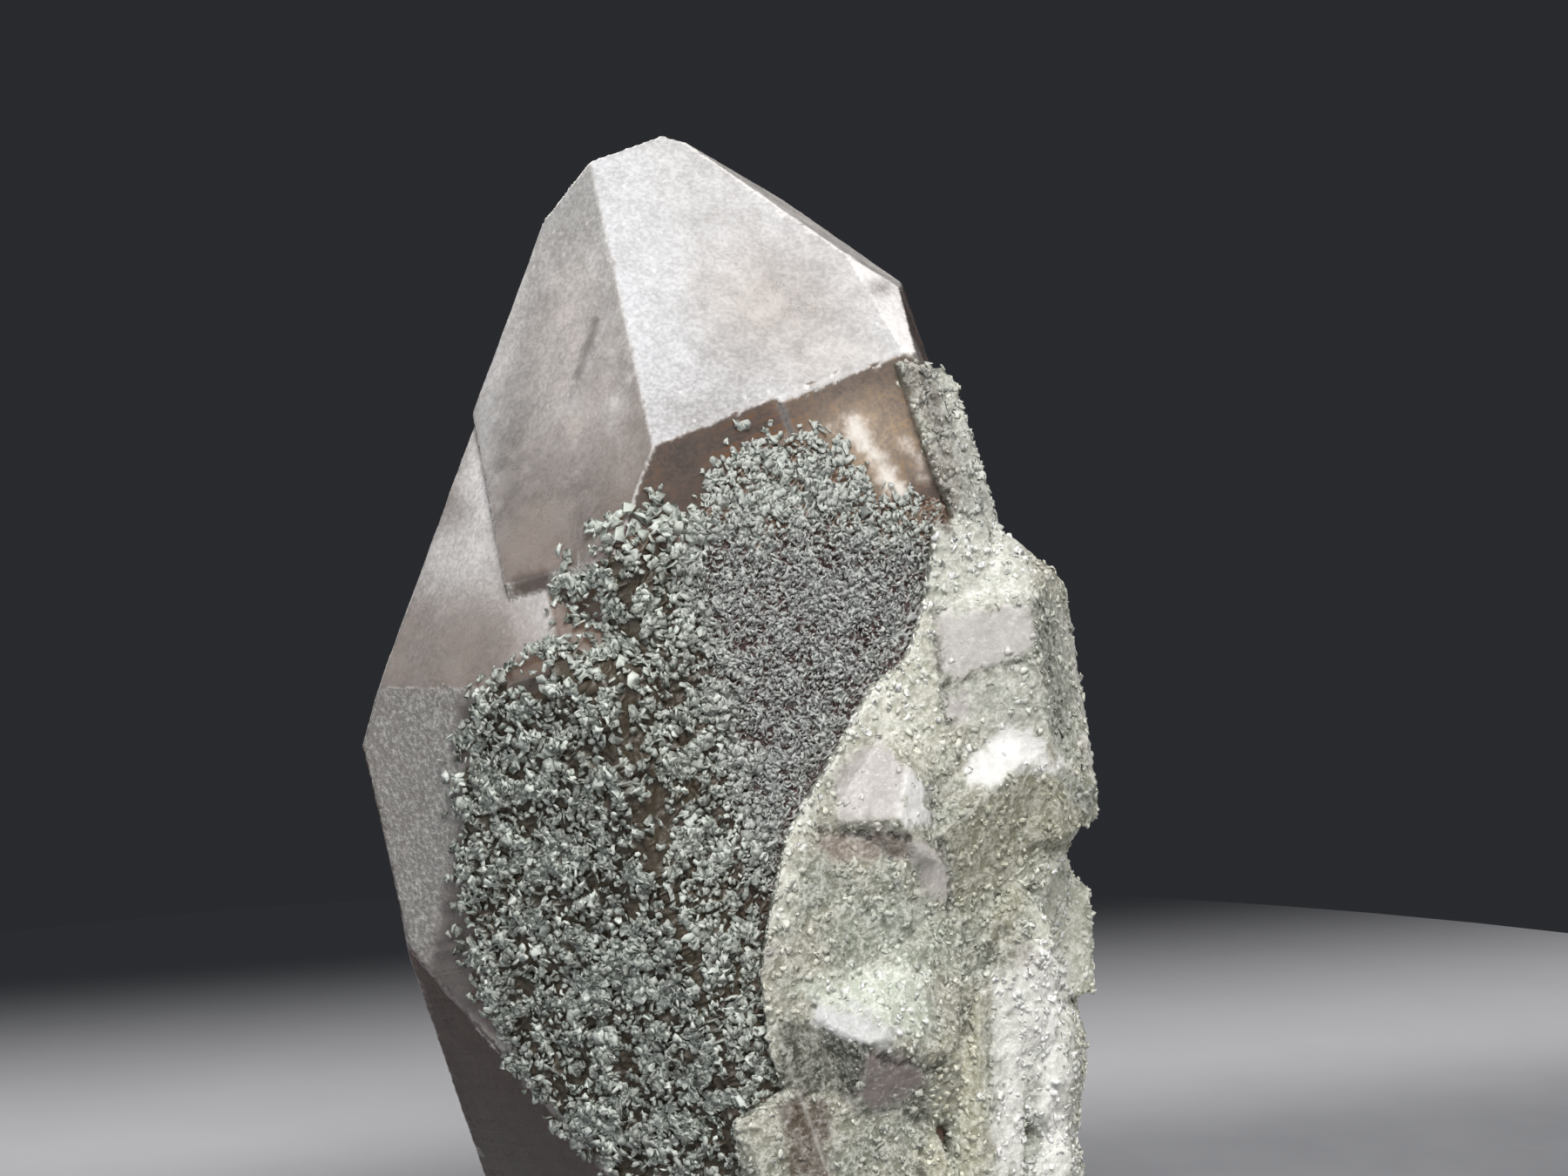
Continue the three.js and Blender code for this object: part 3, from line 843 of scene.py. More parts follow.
def survey_crust():
    """The crystal's surface on a fine grid seen from the front, and how far inside the crust each cell is."""
    crust = node_mesh("chlorite_crust")
    tree = tree_of(crust)
    host = tree_of(node_mesh("smoky_quartz_crystal"))
    flank = tree_of(node_mesh("side_crystals"))
    low = points_of(crust).min(axis=0) - CRUST_REACH
    high = points_of(crust).max(axis=0) + CRUST_REACH
    low[2] = FLOOR_Z + 0.04
    across = np.arange(low[0], high[0], CRUST_STEP)
    upward = np.arange(low[2], high[2], CRUST_STEP)
    shape = (len(upward), len(across))
    crusted = np.zeros(shape, bool)
    ahead = Vector((0, 1, 0))
    for j, z in enumerate(upward):
        for i, x in enumerate(across):
            hit, normal, _, _ = tree.ray_cast(Vector((x, RAY_Y, z)), ahead)
            crusted[j, i] = hit is not None and normal.y < -0.05
    depth = from_border(crusted, int(CRUST_REACH / CRUST_STEP)) * CRUST_STEP
    base = np.zeros(shape + (3,))
    out = np.zeros(shape + (3,))
    found = np.zeros(shape, bool)
    near_flank = np.zeros(shape)
    reach = CRUST_REACH - 2 * CRUST_STEP
    for j, i in zip(*np.nonzero(depth > -reach)):
        hit, normal, _, _ = host.ray_cast(Vector((across[i], RAY_Y, upward[j])), ahead)
        if hit is None or normal.y > -0.25:
            continue
        found[j, i] = True
        base[j, i] = hit
        out[j, i] = normal
        if depth[j, i] < FLANK_BAND:
            touch = flank.find_nearest(hit, FLANK_NEAR + FLANK_FADE)[3]
            near_flank[j, i] = 0 if touch is None else 1 - max(0, touch - FLANK_NEAR) / FLANK_FADE
    return depth, base, out, found, near_flank


def grid_quads(number):
    quads = np.stack([number[:-1, :-1], number[:-1, 1:], number[1:, 1:], number[1:, :-1]], -1).reshape(-1, 4)
    return quads[(quads >= 0).all(axis=1)]


def closed_sheet(front, back, quads):
    """A closed solid between a fine front and the same border pushed back."""
    used = np.unique(quads)
    renumber = -np.ones(len(front), int)
    renumber[used] = np.arange(len(used))
    quads = renumber[quads]
    front, back = front[used], back[used]
    edges = np.concatenate([quads[:, [0, 1]], quads[:, [1, 2]], quads[:, [2, 3]], quads[:, [3, 0]]])
    seen = {(a, b) for a, b in edges.tolist()}
    border = [(a, b) for a, b in edges.tolist() if (b, a) not in seen]
    triangles = np.concatenate([quads[:, [0, 1, 2]], quads[:, [0, 2, 3]]])
    behind_of = {}
    extra = []
    for edge in border:
        for v in edge:
            if v not in behind_of:
                behind_of[v] = len(front) + len(extra)
                extra.append(back[v])
    walls = []
    for a, b in border:
        walls.append((b, a, behind_of[a]))
        walls.append((b, behind_of[a], behind_of[b]))
    points = np.concatenate([front, np.array(extra)])
    # The back is the border, flattened and filled with triangles.
    bm = bmesh.new()
    flat = {v: bm.verts.new((back[v][0], 0.0, back[v][2])) for v in behind_of}
    for a, b in border:
        if bm.edges.get((flat[a], flat[b])) is None:
            bm.edges.new((flat[a], flat[b]))
    bm.verts.index_update()
    order = {flat[v].index: behind_of[v] for v in flat}
    bmesh.ops.triangle_fill(bm, use_beauty=True, edges=bm.edges[:], normal=(0.0, 1.0, 0.0))
    lid = []
    for f in bm.faces:
        ids = [order[v.index] for v in f.verts]
        a, b, c = (points[i] for i in ids)
        if np.cross(b - a, c - a)[1] < 0:
            ids.reverse()
        lid.append(ids)
    bm.free()
    return points, np.concatenate([triangles, np.array(walls), np.array(lid)]), used


def tidy_mask(mask):
    """The mask without cells that hang on by a corner or by a thread."""
    for _ in range(3):
        padded = np.pad(mask, 1).astype(int)
        beside_it = padded[1:-1, :-2] + padded[1:-1, 2:] + padded[:-2, 1:-1] + padded[2:, 1:-1]
        mask = (mask & (beside_it >= 2)) | (beside_it >= 4)
    return mask


def crust_material():
    s = Look("chlorite")
    lift = s.attribute("lift")
    tone = s.tone()
    speck = s.noise(0.10, 2.0, 0.7)
    patch = s.noise(1.2, 2.0, 0.6)
    raised = s.step(s.sum(lift, s.times(s.sum(speck, -0.5), 0.35)), 0.18, 0.85)
    dark = s.blend(s.step(patch, 0.40, 0.60, 0.0, 0.4), s.attribute("under", "Color"), (0.05, 0.04, 0.03))
    pale = s.blend(s.step(speck, 0.35, 0.75), tone, (0.62, 0.64, 0.62))
    s.set("Base Color", s.blend(raised, dark, pale))
    s.set("Roughness", s.step(raised, 0.0, 1.0, 0.42, 0.70))
    s.set("Normal", s.bump(s.noise(0.06, 2.0, 0.7), 0.018, 0.8))
    return s.m


def make_chlorite():
    depth, base, out, found, near_flank = survey_crust()
    places = base[found]
    ragged = 0.42 * layered(places, 1.7, 201) + 0.22 * noise(places, 0.5, 203)
    wander = np.zeros(found.shape)
    wander[found] = ragged + 2.2 * brown_share(places, *picture(places))
    keep = found & (depth + near_flank * 1.1 > 0.10 + wander * (1 - near_flank))
    keep = tidy_mask(keep)
    inner = from_border(keep, 6)
    number = -np.ones(keep.shape, int)
    number[keep] = np.arange(keep.sum())
    surface, outward = base[keep], out[keep]
    share = np.clip(inner[keep] / 5, 0, 1)
    share = np.maximum(share, near_flank[keep])
    lift, coarse = crust_relief(surface)
    lift = lift * smooth(-0.1, 1.0, share) - 0.03 * (1 - share)
    front = surface + outward * np.clip(lift, -0.05, CRUST_HEIGHT)[:, None]
    back = surface - outward * CRUST_SINK
    keep_above_floor(front)
    keep_above_floor(back)
    tone = mix((0.35, 0.36, 0.36), (0.36, 0.39, 0.34), coarse)
    top = top_share(surface)
    tone = mix(tone, (0.62, 0.63, 0.59), top)
    under = mix((0.085, 0.048, 0.046), (0.070, 0.055, 0.036), coarse)
    under = mix(under, (0.21, 0.135, 0.095), top)
    fine_pale = smooth(0.10, 0.30, lift)
    coarse_pale = 0.85 * smooth(0.24, 0.50, lift + 0.04 * noise(surface, 0.3, 205))
    paleness = (fine_pale * (1 - coarse) + coarse_pale * coarse) * (1 - 0.45 * top)
    looks = crust_material()
    quads = grid_quads(number)
    split = surface[quads].mean(axis=1)[:, 2] > CRUST_SPLIT_Z
    for name, part in (("chlorite_upper", split), ("chlorite_lower", ~split)):
        points, faces, used = closed_sheet(front, back, quads[part])
        obj = object_from(name, points, faces)
        extra = len(points) - len(used)
        give(obj, lift=np.concatenate([paleness[used], np.zeros(extra)]))
        give(obj, tone=np.concatenate([tone[used], np.tile([0.1, 0.08, 0.06], (extra, 1))]))
        give(obj, under=np.concatenate([under[used], np.tile([0.07, 0.05, 0.04], (extra, 1))]))
        dress(obj, looks)
        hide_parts("chlorite_crust")
    make_flakes(places, out[found], depth[found] - ragged, near_flank[found])


# How many points one curled strip has.
CURL_POINTS = 12


def picked(picker, chance, count):
    """That many different places, each as likely as its chance."""
    return picker.choice(len(chance), count, replace=False, p=chance / chance.sum())


def curls(places, normals, lengths, widths, thickness, lean, picker):
    """Many small closed curled strips as one mesh, each with its own tilt, turn and bend."""
    count = len(places)
    loose, ahead, side = loose_frames(normals, lean, picker)
    bend = picker.uniform(-0.35, 0.35, count)
    twist = picker.normal(scale=0.5, size=count)
    rings = []
    for k, share in ((-1, 0.6), (0, 1.0), (1, 0.7)):
        middle = places + ahead * (lengths * k / 2)[:, None] + side * (bend * lengths * (1 - k * k))[:, None]
        turned_side = side * np.cos(twist * k)[:, None] + loose * np.sin(twist * k)[:, None]
        turned_up = loose * np.cos(twist * k)[:, None] - side * np.sin(twist * k)[:, None]
        half = turned_side * (widths * share / 2)[:, None]
        up = turned_up * thickness * share / 2
        rings += [middle - half - up, middle + half - up, middle + half + up, middle - half + up]
    points = np.stack(rings, axis=1)
    points = (points + picker.normal(scale=0.11, size=points.shape) * widths[:, None, None]).reshape(-1, 3)
    one = [(0, 1, 2), (0, 2, 3), (8, 10, 9), (8, 11, 10)] + ring_walls(0, 4, 4) + ring_walls(4, 8, 4)
    return points, repeated(one, count, CURL_POINTS)


# Name, count, range of lengths and of widths, thickness, lean and height over the crust, in mm.
FLAKES = (
    ("chlorite_flakes", 9000, (0.18, 0.38), (0.14, 0.30), 0.060, 0.60, 0.05),
    ("chlorite_web", 6800, (0.14, 0.28), (0.07, 0.13), 0.045, 0.50, 0.02),
)
# Stretches noise into rows that run up to the right.
ROW_STRETCH = np.array([[0.26, 0, -0.57], [0, 0.3, 0], [0.18, 0, 0.82]])


def make_flakes(base, out, depth, near_flank):
    picker = np.random.default_rng(SEED + 1)
    lift, coarse = crust_relief(base)
    x, y = picture(base)
    rows = smooth(-0.25, 0.35, noise(base @ ROW_STRETCH, 0.62, 211))
    clump = smooth(-0.45, 0.35, layered(base, 0.95, 213))
    edge = smooth(-0.75, 0.35, depth + 0.5 * noise(base, 0.55, 215))
    edge = np.maximum(edge, near_flank * smooth(-1.0, -0.6, depth))
    edge = edge * (1 - 0.75 * brown_share(base, x, y))
    clear = 1 - 0.85 * smooth(18, 6, along(x, y, FURROW) + 10 * noise(base, 0.5, 217))
    top = top_share(base)
    chances = (coarse * (0.15 + rows * clump), (1 - coarse) * (0.4 + 0.6 * clump) * (1 - 0.35 * top))
    for chance, (name, count, long, wide, thick, lean, raise_by) in zip(chances, FLAKES):
        chance = chance * edge * clear + 1e-9
        chosen = picked(picker, chance, count)
        share = smooth(-0.1, 0.3, depth[chosen])
        height = np.maximum(lift[chosen], 0) * share + raise_by + picker.uniform(0, 0.10, count)
        places = base[chosen] + out[chosen] * height[:, None]
        sizes = picker.uniform(0.8, 1.2, count) * (0.75 + 0.5 * clump[chosen]) * (1 + 0.45 * top[chosen])
        lengths = picker.uniform(*long, count) * sizes
        widths = picker.uniform(*wide, count) * sizes * (1 + 0.3 * top[chosen])
        points, faces = curls(places, out[chosen], lengths, widths, thick, lean, picker)
        keep_above_floor(points)
        obj = object_from(name, points, faces)
        shade = picker.uniform(0.0, 1.0, count)
        tint = mix((0.16, 0.178, 0.15), (0.77, 0.82, 0.76), shade**1.6)
        lilac = mix((0.20, 0.205, 0.205), (0.56, 0.58, 0.565), shade)
        tint = mix(lilac, tint, coarse[chosen])
        tint = mix(tint, tint * 0.6 + [0.27, 0.295, 0.265], top[chosen])
        give(obj, tone=tint.repeat(CURL_POINTS, axis=0))
        dress(obj, flake_material(name))
        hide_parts("chlorite_crust")


def flake_material(name):
    s = Look(name)
    tone = s.tone()
    speck = s.noise(0.09, 2.0, 0.6)
    s.set("Base Color", s.blend(s.step(speck, 0.35, 0.75, 0.0, 0.5), tone, (0.72, 0.75, 0.72)))
    s.set("Roughness", 0.5)
    s.set("Normal", s.bump(s.noise(0.05), 0.010, 0.7))
    return s.m


# The side crystals

# Areas of the side crystals as outlines in the picture, with their colour, how clean the quartz is there
# from 0, granular, to 1, bare, and how sharply the area ends in pixels. Some colours hold painted shade or a painted
# highlight, as marked below.
SIDE_AREAS = [
    ([(1040, 690), (1085, 700), (1088, 840), (1060, 880), (1040, 862), (1000, 846), (985, 850), (1000, 815),
      (1035, 765)], (0.80, 0.80, 0.72), 0.0, 14),
    ([(1062, 690), (1050, 770), (1010, 830), (962, 880), (932, 930), (915, 1000), (905, 1060), (888, 1060),
      (893, 1000), (902, 940), (926, 880), (980, 812), (1030, 750)], (0.86, 0.86, 0.78), 0.0, 12),
    ([(1060, 590), (1165, 590), (1192, 690), (1070, 712)], (0.82, 0.83, 0.775), 0.0, 12),
    ([(1075, 708), (1182, 690), (1188, 740), (1162, 758), (1130, 770), (1096, 784), (1077, 768)],
     (0.66, 0.635, 0.62), 0.75, 5),
    ([(1085, 786), (1130, 770), (1190, 752), (1212, 800), (1216, 842), (1120, 842)], (0.62, 0.63, 0.57), 0.25, 8),
    ([(1078, 796), (1108, 797), (1115, 812), (1108, 828), (1086, 830)], (0.64, 0.61, 0.595), 0.7, 6),
    ([(1188, 690), (1212, 690), (1240, 800), (1236, 880), (1216, 885), (1196, 770)], (0.38, 0.40, 0.345), 0.2, 6),
    ([(1216, 700), (1250, 760), (1266, 850), (1250, 880), (1238, 800)], (0.58, 0.57, 0.54), 0.3, 8),
    ([(1112, 862), (1150, 838), (1180, 838), (1219, 874), (1214, 892), (1178, 884), (1140, 908), (1112, 900)],
     (0.95, 0.95, 0.94), 0.5, 9),
    ([(1076, 960), (1172, 892), (1216, 890), (1262, 906), (1228, 975), (1140, 1080), (1098, 1050)],
     (0.44, 0.435, 0.335), 0.15, 8),
    ([(1215, 885), (1240, 890), (1262, 908), (1240, 930)], (0.40, 0.42, 0.37), 0.1, 6),
    ([(951, 905), (986, 862), (1012, 850), (1040, 868), (1050, 900), (1038, 936), (1000, 950), (962, 945)],
     (0.60, 0.57, 0.555), 0.72, 5),
    # A white facet, lighter by a painted highlight.
    ([(1044, 884), (1066, 905), (1066, 946), (1044, 955), (1034, 936)], (0.92, 0.92, 0.92), 0.6, 5),
    # Brown face under the pink face, darkened by painted shade.
    ([(942, 956), (1000, 955), (1046, 956), (1044, 982), (1000, 990), (950, 988)], (0.33, 0.27, 0.225), 0.5, 6),
    ([(1048, 965), (1078, 972), (1094, 1004), (1086, 1036), (1060, 1030), (1052, 1000)],
     (0.60, 0.565, 0.54), 0.72, 6),
    ([(960, 1036), (1060, 1030), (1092, 1060), (1084, 1112), (990, 1116), (962, 1080)], (0.50, 0.53, 0.46), 0.0, 16),
    ([(914, 1130), (985, 1108), (1064, 1112), (1066, 1196), (1020, 1180), (940, 1160)], (0.80, 0.84, 0.76), 0.0, 10),
    ([(934, 1152), (1000, 1162), (1026, 1190), (1018, 1205), (962, 1197), (932, 1178)], (0.70, 0.715, 0.72), 0.5, 8),
    # The two undersides of the lowest crystal, darkened by painted shade.
    ([(900, 1170), (934, 1180), (1000, 1206), (986, 1262), (888, 1250)], (0.15, 0.155, 0.12), 0.1, 5),
    ([(1002, 1206), (1066, 1222), (1064, 1252), (1002, 1272), (984, 1258)], (0.30, 0.25, 0.235), 0.8, 4),
    ([(902, 1258), (950, 1262), (952, 1356), (900, 1356)], (0.11, 0.075, 0.045), 0.5, 7),
    ([(1064, 1215), (1132, 1130), (1140, 1356), (1060, 1356)], (0.62, 0.61, 0.49), 0.1, 12),
    ([(1196, 976), (1240, 985), (1290, 1080), (1290, 1165), (1226, 1160), (1186, 1080)], (0.82, 0.83, 0.74), 0.0, 10),
    ([(1246, 1040), (1290, 1080), (1296, 1360), (1250, 1360)], (0.56, 0.57, 0.49), 0.0, 10),
    ([(1138, 1120), (1226, 1086), (1238, 1356), (1142, 1356)], (1.0, 1.0, 0.97), 0.0, 16),
    ([(1055, 390), (1104, 452), (1122, 505), (1150, 600), (1100, 606), (1080, 480)], (0.50, 0.51, 0.475), 0.2, 6),
    ([(1030, 380), (1054, 386), (1074, 436), (1084, 484), (1098, 534), (1104, 576), (1092, 612), (1070, 608),
      (1072, 554), (1068, 510), (1056, 466), (1044, 436)], (0.36, 0.335, 0.30), 0.2, 4),
]


# Areas at least this clean are faces of their own, a little higher than the rest. The fifth is stepped.
CRYSTAL_CLEAN = 0.72
STEPPED_AREA = SIDE_AREAS[4][0]
# Crevices between the side crystals, sunk and darkened with painted shade: a line in the picture, its half width in
# pixels and its depth in mm.
CREVICES = [
    ([(1150, 1066), (1132, 1108), (1112, 1150), (1100, 1200), (1072, 1236)], 11, 0.14),
    ([(1056, 1262), (1062, 1300), (1058, 1350)], 9, 0.12),
    ([(946, 956), (996, 956), (1040, 960)], 7, 0.10),
    ([(1066, 905), (1070, 950), (1092, 1000), (1090, 1040)], 7, 0.08),
    ([(1072, 700), (1078, 770), (1086, 830)], 6, 0.08),
    ([(990, 1205), (1030, 1222), (1070, 1226)], 7, 0.10),
    ([(1082, 786), (1130, 772), (1186, 756)], 5, 0.08),
    ([(1050, 385), (1064, 440), (1078, 500), (1090, 560), (1086, 606)], 6, 0.08),
    ([(1196, 690), (1204, 760), (1222, 850)], 5, 0.06),
]


def in_crevices(points, x, y):
    """For each crevice how far in it each point is, from 0 to 1, and the crevice's depth."""
    wander = 11 * layered(points, 0.6, 137)
    return [(smooth(wide, 0.2 * wide, along(x, y, line) + wander), deep) for line, wide, deep in CREVICES]


def side_looks(points, normals, x, y):
    """The colour of each point of the side crystals, with painted shade in crevices and on undersides and a painted
    highlight on one facet, how clean the quartz is there, and which faces are raised.
    """
    front = smooth(0.25, -0.1, normals[:, 1])
    patch = layered(points, 1.9, 141)
    tone = mix((0.58, 0.57, 0.49), (0.43, 0.445, 0.385), smooth(-0.25, 0.35, patch))
    cloud = layered(points, 2.6, 143)
    tone = mix(tone, (0.60, 0.57, 0.53), smooth(0.30, 0.55, cloud))
    bare = 0.6 * smooth(0.42, 0.52, cloud)
    ragged = layered(points, 0.8, 145) + 0.5 * noise(points, 0.25, 149)
    raised = np.zeros(len(points))
    for corners, colour, clean, soft in SIDE_AREAS:
        share = smooth(-soft, soft, within(x, y, corners) + (soft + 9) * ragged) * front
        tone = mix(tone, colour, share)
        bare = bare * (1 - share) + clean * share
        if clean >= CRYSTAL_CLEAN:
            raised = np.maximum(raised, share)
    # Painted shade: the crevices are darkened.
    for share, _ in in_crevices(points, x, y):
        tone *= 1 - 0.42 * (share * front)[:, None]
        bare *= 1 - share * front
    return np.clip(tone, 0, 1), np.clip(bare, 0, 1), raised


def terraces(value, levels, soft=0.25):
    """The value in flat steps with soft risers."""
    v = value * levels
    whole = np.floor(v)
    return (whole + smooth(1 - soft, 1, v - whole)) / levels


def scaly_relief(points, bare, raised, x, y):
    """Height of the side crystals' rough skin in mm at each point, and how high its small scales stand."""
    grain = np.clip(noise(points, 0.24, 101) * 0.7 + noise(points, 0.15, 103) * 0.5, -1, 1)
    scales = terraces(0.5 + 0.5 * layered(points * np.array([0.8, 0.8, 1.5]), 1.0, 121), 6)
    worm = np.maximum(ridges(points, 0.50, 131, 0.20), 0.8 * ridges(points, 0.36, 133, 0.20))
    worm *= 0.75 + 0.25 * noise(points, 0.8, 135)
    rough = 0.030 * grain + 0.10 * (worm - 0.5) + 0.05 * layered(points, 1.3, 111) + 0.12 * (scales - 0.5)
    fine = 0.010 * grain + 0.015 * worm + 0.05 * (scales - 0.5)
    stepped = 0.16 * (scales - 0.5) * smooth(-8, 8, within(x, y, STEPPED_AREA))
    height = (1 - bare) * rough + bare * fine + 0.03 * raised + stepped
    for share, deep in in_crevices(points, x, y):
        height -= deep * share
    return height, 0.4 * grain + 0.8 * (2 * worm - 1)


# Closer to the large crystal than this the side mass is drawn to it and sunk in it by that, in mm.
TUCK_REACH = 0.45
TUCK_DEPTH = 0.05


def make_side():
    host = tree_of(node_mesh("smoky_quartz_crystal"))
    solid = node_mesh("side_crystals")
    points, normals, triangles = remeshed(solid, SIDE_VOXEL)
    x, y = picture(points)
    _, bare, raised = side_looks(points, normals, x, y)
    height, _ = scaly_relief(points, bare, raised, x, y)
    height *= smooth(0.0, 0.4, points[:, 2] - FLOOR_Z)
    moved = points + normals * height[:, None]
    for k, p in enumerate(points.tolist()):
        near, _, _, distance = host.find_nearest(p, TUCK_REACH)
        if near is not None:
            moved[k] = points[k] + (np.array(near) - points[k]) * (1 + TUCK_DEPTH / max(distance, TUCK_DEPTH))
    moved, rough_normals, triangles = thinned(moved, triangles, SIDE_TRIANGLES)
    keep_above_floor(moved)
    flat = tree_of(solid)
    normals = np.array([flat.find_nearest(p)[1] for p in moved.tolist()])
    x, y = picture(moved)
    tone, bare, raised = side_looks(moved, normals, x, y)
    _, lift = scaly_relief(moved, bare, raised, x, y)
    touch = np.array([host.find_nearest(p, 1.0)[3] or 0.0 for p in moved.tolist()])
    border = smooth(0.95, 0.35, touch) * (touch > 0.02) * smooth(0.3, 0.0, normals[:, 1])
    rim_tone = mix((0.42, 0.45, 0.40), (0.84, 0.84, 0.76), smooth(1080, 960, y))
    tone = mix(tone, rim_tone, 0.75 * border * smooth(600, 720, y))
    obj = object_from("side_crystal_mass", moved, triangles)
    give(obj, bare=bare, lift=lift, tone=tone, rim=edge_distance(solid, moved, 20))
    dress(obj, side_material())
    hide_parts("side_crystals")
    return moved, rough_normals, bare, tone, border


def side_material():
    s = Look("dusted_quartz")
    bare, lift, rim = s.values("bare", "lift", "rim")
    tone = s.tone()
    grit = s.noise(0.12, 3.0, 0.65)
    fine = s.noise(0.05, 2.0, 0.6)
    speck = s.step(s.sum(s.times(lift, 0.24), grit), 0.28, 0.78)
    deep = s.blend(0.75, tone, tone, "MULTIPLY")
    sandy = s.blend(speck, s.blend(0.30, deep, (0.10, 0.095, 0.07)), s.blend(0.40, tone, (1.0, 1.0, 0.94)))
    spark = s.times(s.step(s.cells(0.30), 0.16, 0.07), s.step(s.noise(0.9), 0.48, 0.60))
    sandy = s.blend(s.times(spark, 0.7), sandy, (0.92, 0.92, 0.88))
    scales = s.step(s.noise(0.30, 3.0, 0.65, s.stretched((0, 0.5, 0), (1.0, 1.0, 1.6))), 0.54, 0.66)
    cloudy = s.blend(s.step(s.noise(0.7, 3.0, 0.6), 0.35, 0.65, 0.0, 0.35), tone, (0.42, 0.39, 0.37))
    glassy = s.blend(s.times(scales, 0.5), cloudy, (0.93, 0.92, 0.91))
    colour = s.blend(bare, sandy, glassy)
    # Edges whitened, partly by wear and partly by a painted highlight along them.
    wear_and_edge_highlight = s.step(s.sum(rim, s.times(grit, 0.12)), 0.16, 0.06)
    colour = s.blend(s.times(wear_and_edge_highlight, 0.35), colour, (0.85, 0.85, 0.80))
    s.set("Base Color", colour)
    s.set("Roughness", s.step(bare, 0.0, 1.0, 0.70, 0.28))
    height = s.sum(s.times(grit, 0.8), s.times(fine, 0.4))
    s.set("Normal", s.bump(s.times(height, s.step(bare, 0.0, 1.0, 1.0, 0.25)), 0.07, 0.8))
    return s.m


GRAIN_COUNT, GRAIN_SIDES = 2600, 5
SCALE_COUNT = 4200
# How far they stand off the skin, in mm.
GRAIN_LIFT, SCALE_LIFT = 0.015, 0.02


def make_grains(moved, normals, bare, tone, border):
    """Loose quartz grains and small scales on the rough parts of the side mass."""
    picker = np.random.default_rng(SEED + 2)
    chance = (1 - bare) ** 2 * (normals[:, 1] < 0.9) * (0.3 + smooth(-0.2, 0.5, layered(moved, 1.0, 151)))
    chosen = picked(picker, chance, GRAIN_COUNT)
    places = moved[chosen] + normals[chosen] * GRAIN_LIFT
    chosen = chosen[places[:, 2] > FLOOR_Z + 0.25]
    places = moved[chosen] + normals[chosen] * GRAIN_LIFT
    count = len(chosen)
    points, faces = plates(places, normals[chosen], picker.uniform(0.07, 0.20, count), 0.7, 0.6, GRAIN_SIDES)
    obj = object_from("quartz_grains", points, faces)
    shade = picker.uniform(0.6, 1.35, count)[:, None]
    give(obj, tone=np.clip(tone[chosen] * shade, 0, 0.95).repeat(2 * GRAIN_SIDES, axis=0))
    grain_looks = flake_material("quartz_grain")
    dress(obj, grain_looks, smooth_shaded=False)

    front = smooth(0.6, 0.0, normals[:, 1])
    chance = (1 - bare) ** 2 * (0.25 + 0.75 * front) * (0.6 + smooth(-0.3, 0.3, layered(moved, 0.9, 153)))
    chance *= 1 + 4 * border
    chosen = picked(picker, chance, SCALE_COUNT)
    chosen = chosen[moved[chosen, 2] > FLOOR_Z + 0.3]
    count = len(chosen)
    places = moved[chosen] + normals[chosen] * SCALE_LIFT
    size = picker.uniform(0.7, 1.2, count)
    lengths, widths = picker.uniform(0.16, 0.34, count) * size, picker.uniform(0.14, 0.26, count) * size
    points, faces = curls(places, normals[chosen], lengths, widths, 0.05, 0.22, picker)
    obj = object_from("quartz_scales", points, faces)
    shade = picker.uniform(0.75, 1.45, count)[:, None]
    give(obj, tone=np.clip(tone[chosen] * shade + 0.03, 0, 0.97).repeat(CURL_POINTS, axis=0))
    dress(obj, grain_looks)


# Room

# Name, place from the middle of the picture in metres, diameter, power in watts and colour.
LIGHTS = (
    ("key", (0.02, -0.29, 0.365), 0.26, 2.25, (1.0, 0.985, 0.96)),
    ("fill", (-0.38, -0.22, 0.10), 0.34, 0.45, (0.93, 0.96, 1.0)),
    ("low_fill", (0.11, -0.42, -0.02), 0.30, 0.42, (1.0, 0.98, 0.95)),
    ("side", (0.43, 0.07, 0.03), 0.26, 0.40, (1.0, 0.985, 0.96)),
    ("rim", (-0.14, 0.34, 0.24), 0.30, 1.7, (1.0, 0.98, 0.95)),
)


WORLD_COLOUR = (0.022, 0.0235, 0.0275, 1.0)
FLOOR_RADIUS = 95.0
FLOOR_GAP = 0.02


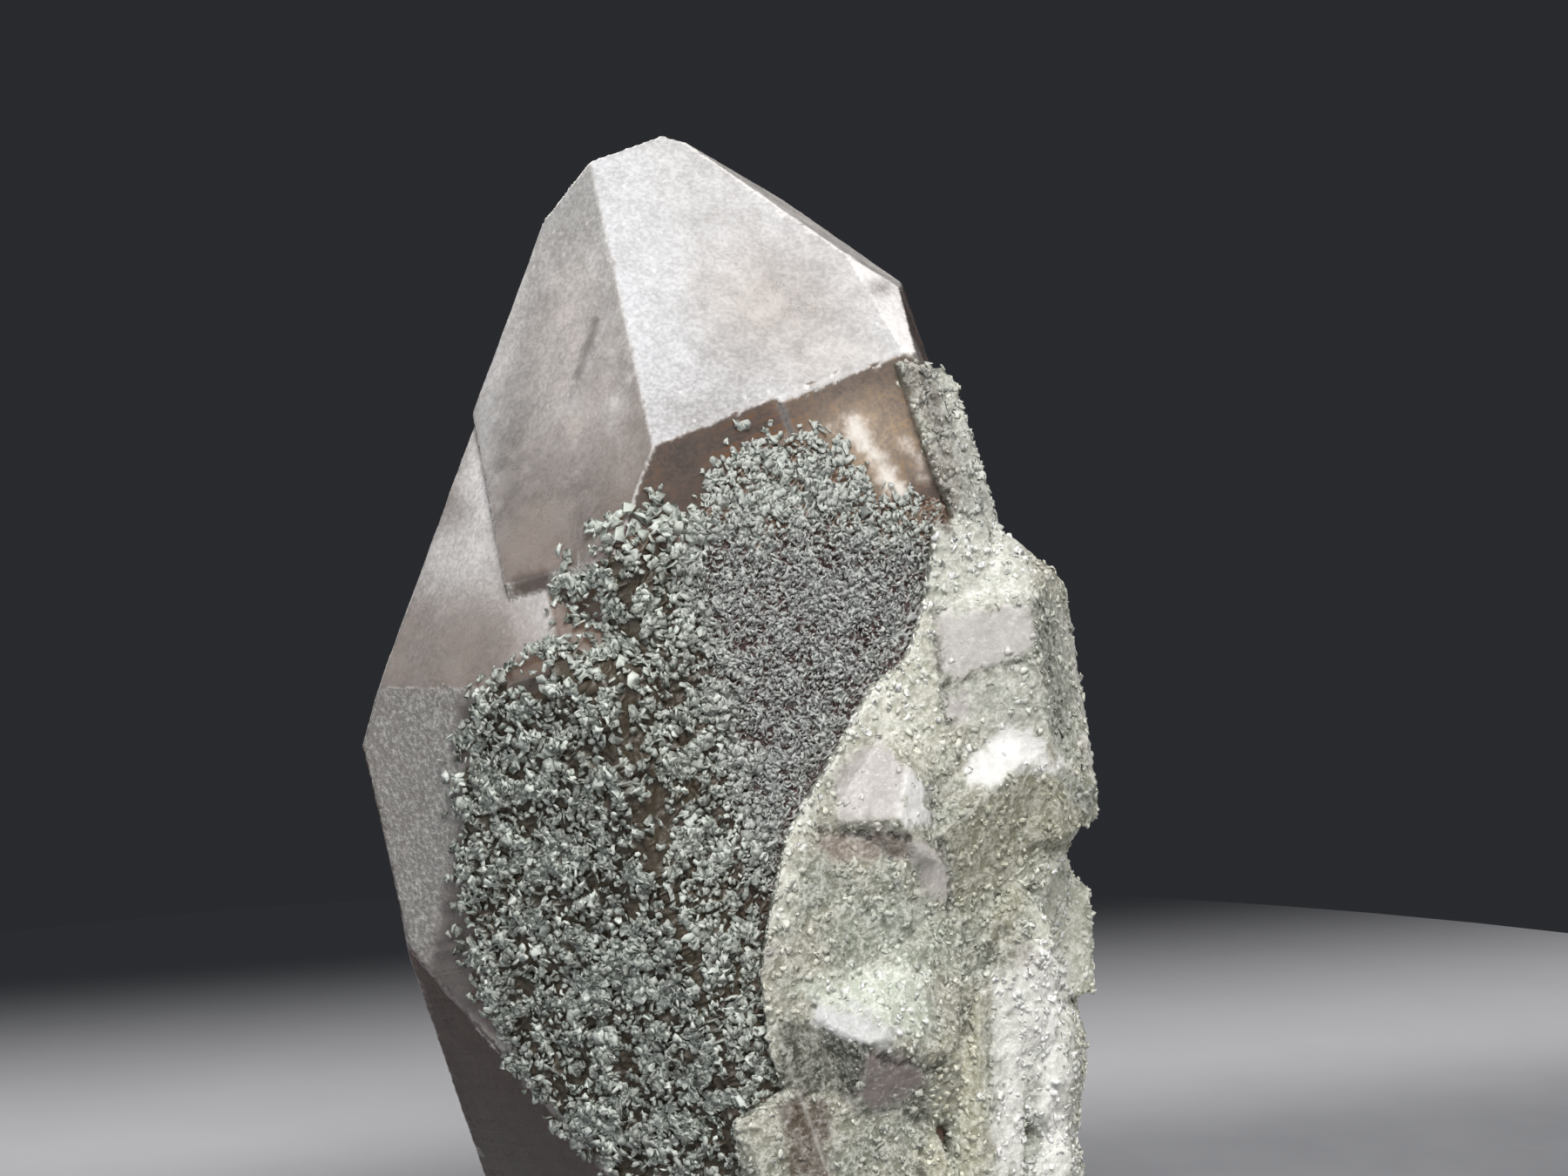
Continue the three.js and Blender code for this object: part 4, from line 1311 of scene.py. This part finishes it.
def placed(name, data, place, aim):
    """A lamp or a camera that far from the middle of the picture, turned that way."""
    obj = bpy.data.objects.new(name, data)
    obj.location = Vector(SHIFT) * MM + place
    obj.rotation_mode = "QUATERNION"
    obj.rotation_quaternion = aim.to_track_quat("-Z", "Y")
    bpy.context.scene.collection.objects.link(obj)
    return obj


def soft_light(name, place, size, power, colour):
    data = bpy.data.lights.new(name, "AREA")
    data.shape = "DISK"
    data.size = size
    data.energy = power
    data.color = colour
    placed(name, data, Vector(place), -Vector(place))


def make_room():
    scene = bpy.context.scene
    world = bpy.data.worlds.new("studio")
    world.use_nodes = True
    world.node_tree.nodes["Background"].inputs["Color"].default_value = WORLD_COLOUR
    scene.world = world
    for light in LIGHTS:
        soft_light(*light)

    data = bpy.data.cameras.new("camera")
    data.lens = LENS
    data.clip_start = 0.005
    data.clip_end = 5.0
    scene.camera = placed("camera", data, Vector(EYE) * MM, Vector(AHEAD))
    scene.view_settings.view_transform = "Standard"


def make_floor():
    """A round floor, pale near the specimen and dark far behind it."""
    rings, spokes = 24, 96
    radii = np.linspace(0, FLOOR_RADIUS, rings + 1)[1:]
    turn = np.arange(spokes) * 2 * math.pi / spokes
    ring = np.stack([np.cos(turn), np.sin(turn), np.zeros(spokes)], 1)
    points = np.concatenate([[[0, 0, 0]], *[ring * r for r in radii]]) + [0, 0, FLOOR_Z]
    obj = object_from("floor", points - [0, 0, FLOOR_GAP], disc_faces(rings, spokes))
    s = Look("floor")
    away = s.reach((-0.32, 1.0, 0.0))
    fade = s.step(away, 0.046, 0.086)
    level = s.blend(s.step(away, 0.030, 0.048), (0.18, 0.185, 0.20), (0.35, 0.355, 0.375))
    pale = s.blend(s.times(s.noise(6.0, 3.0, 0.6), 0.12), level, (0.60, 0.60, 0.62))
    s.set("Base Color", s.blend(fade, pale, (0.0185, 0.020, 0.023)))
    s.set("Roughness", 0.9)
    s.set("Specular IOR Level", 0.0)
    obj.data.materials.append(s.m)


make_room()
make_floor()
make_crystal()
make_veils()
make_chlorite()
make_grains(*make_side())
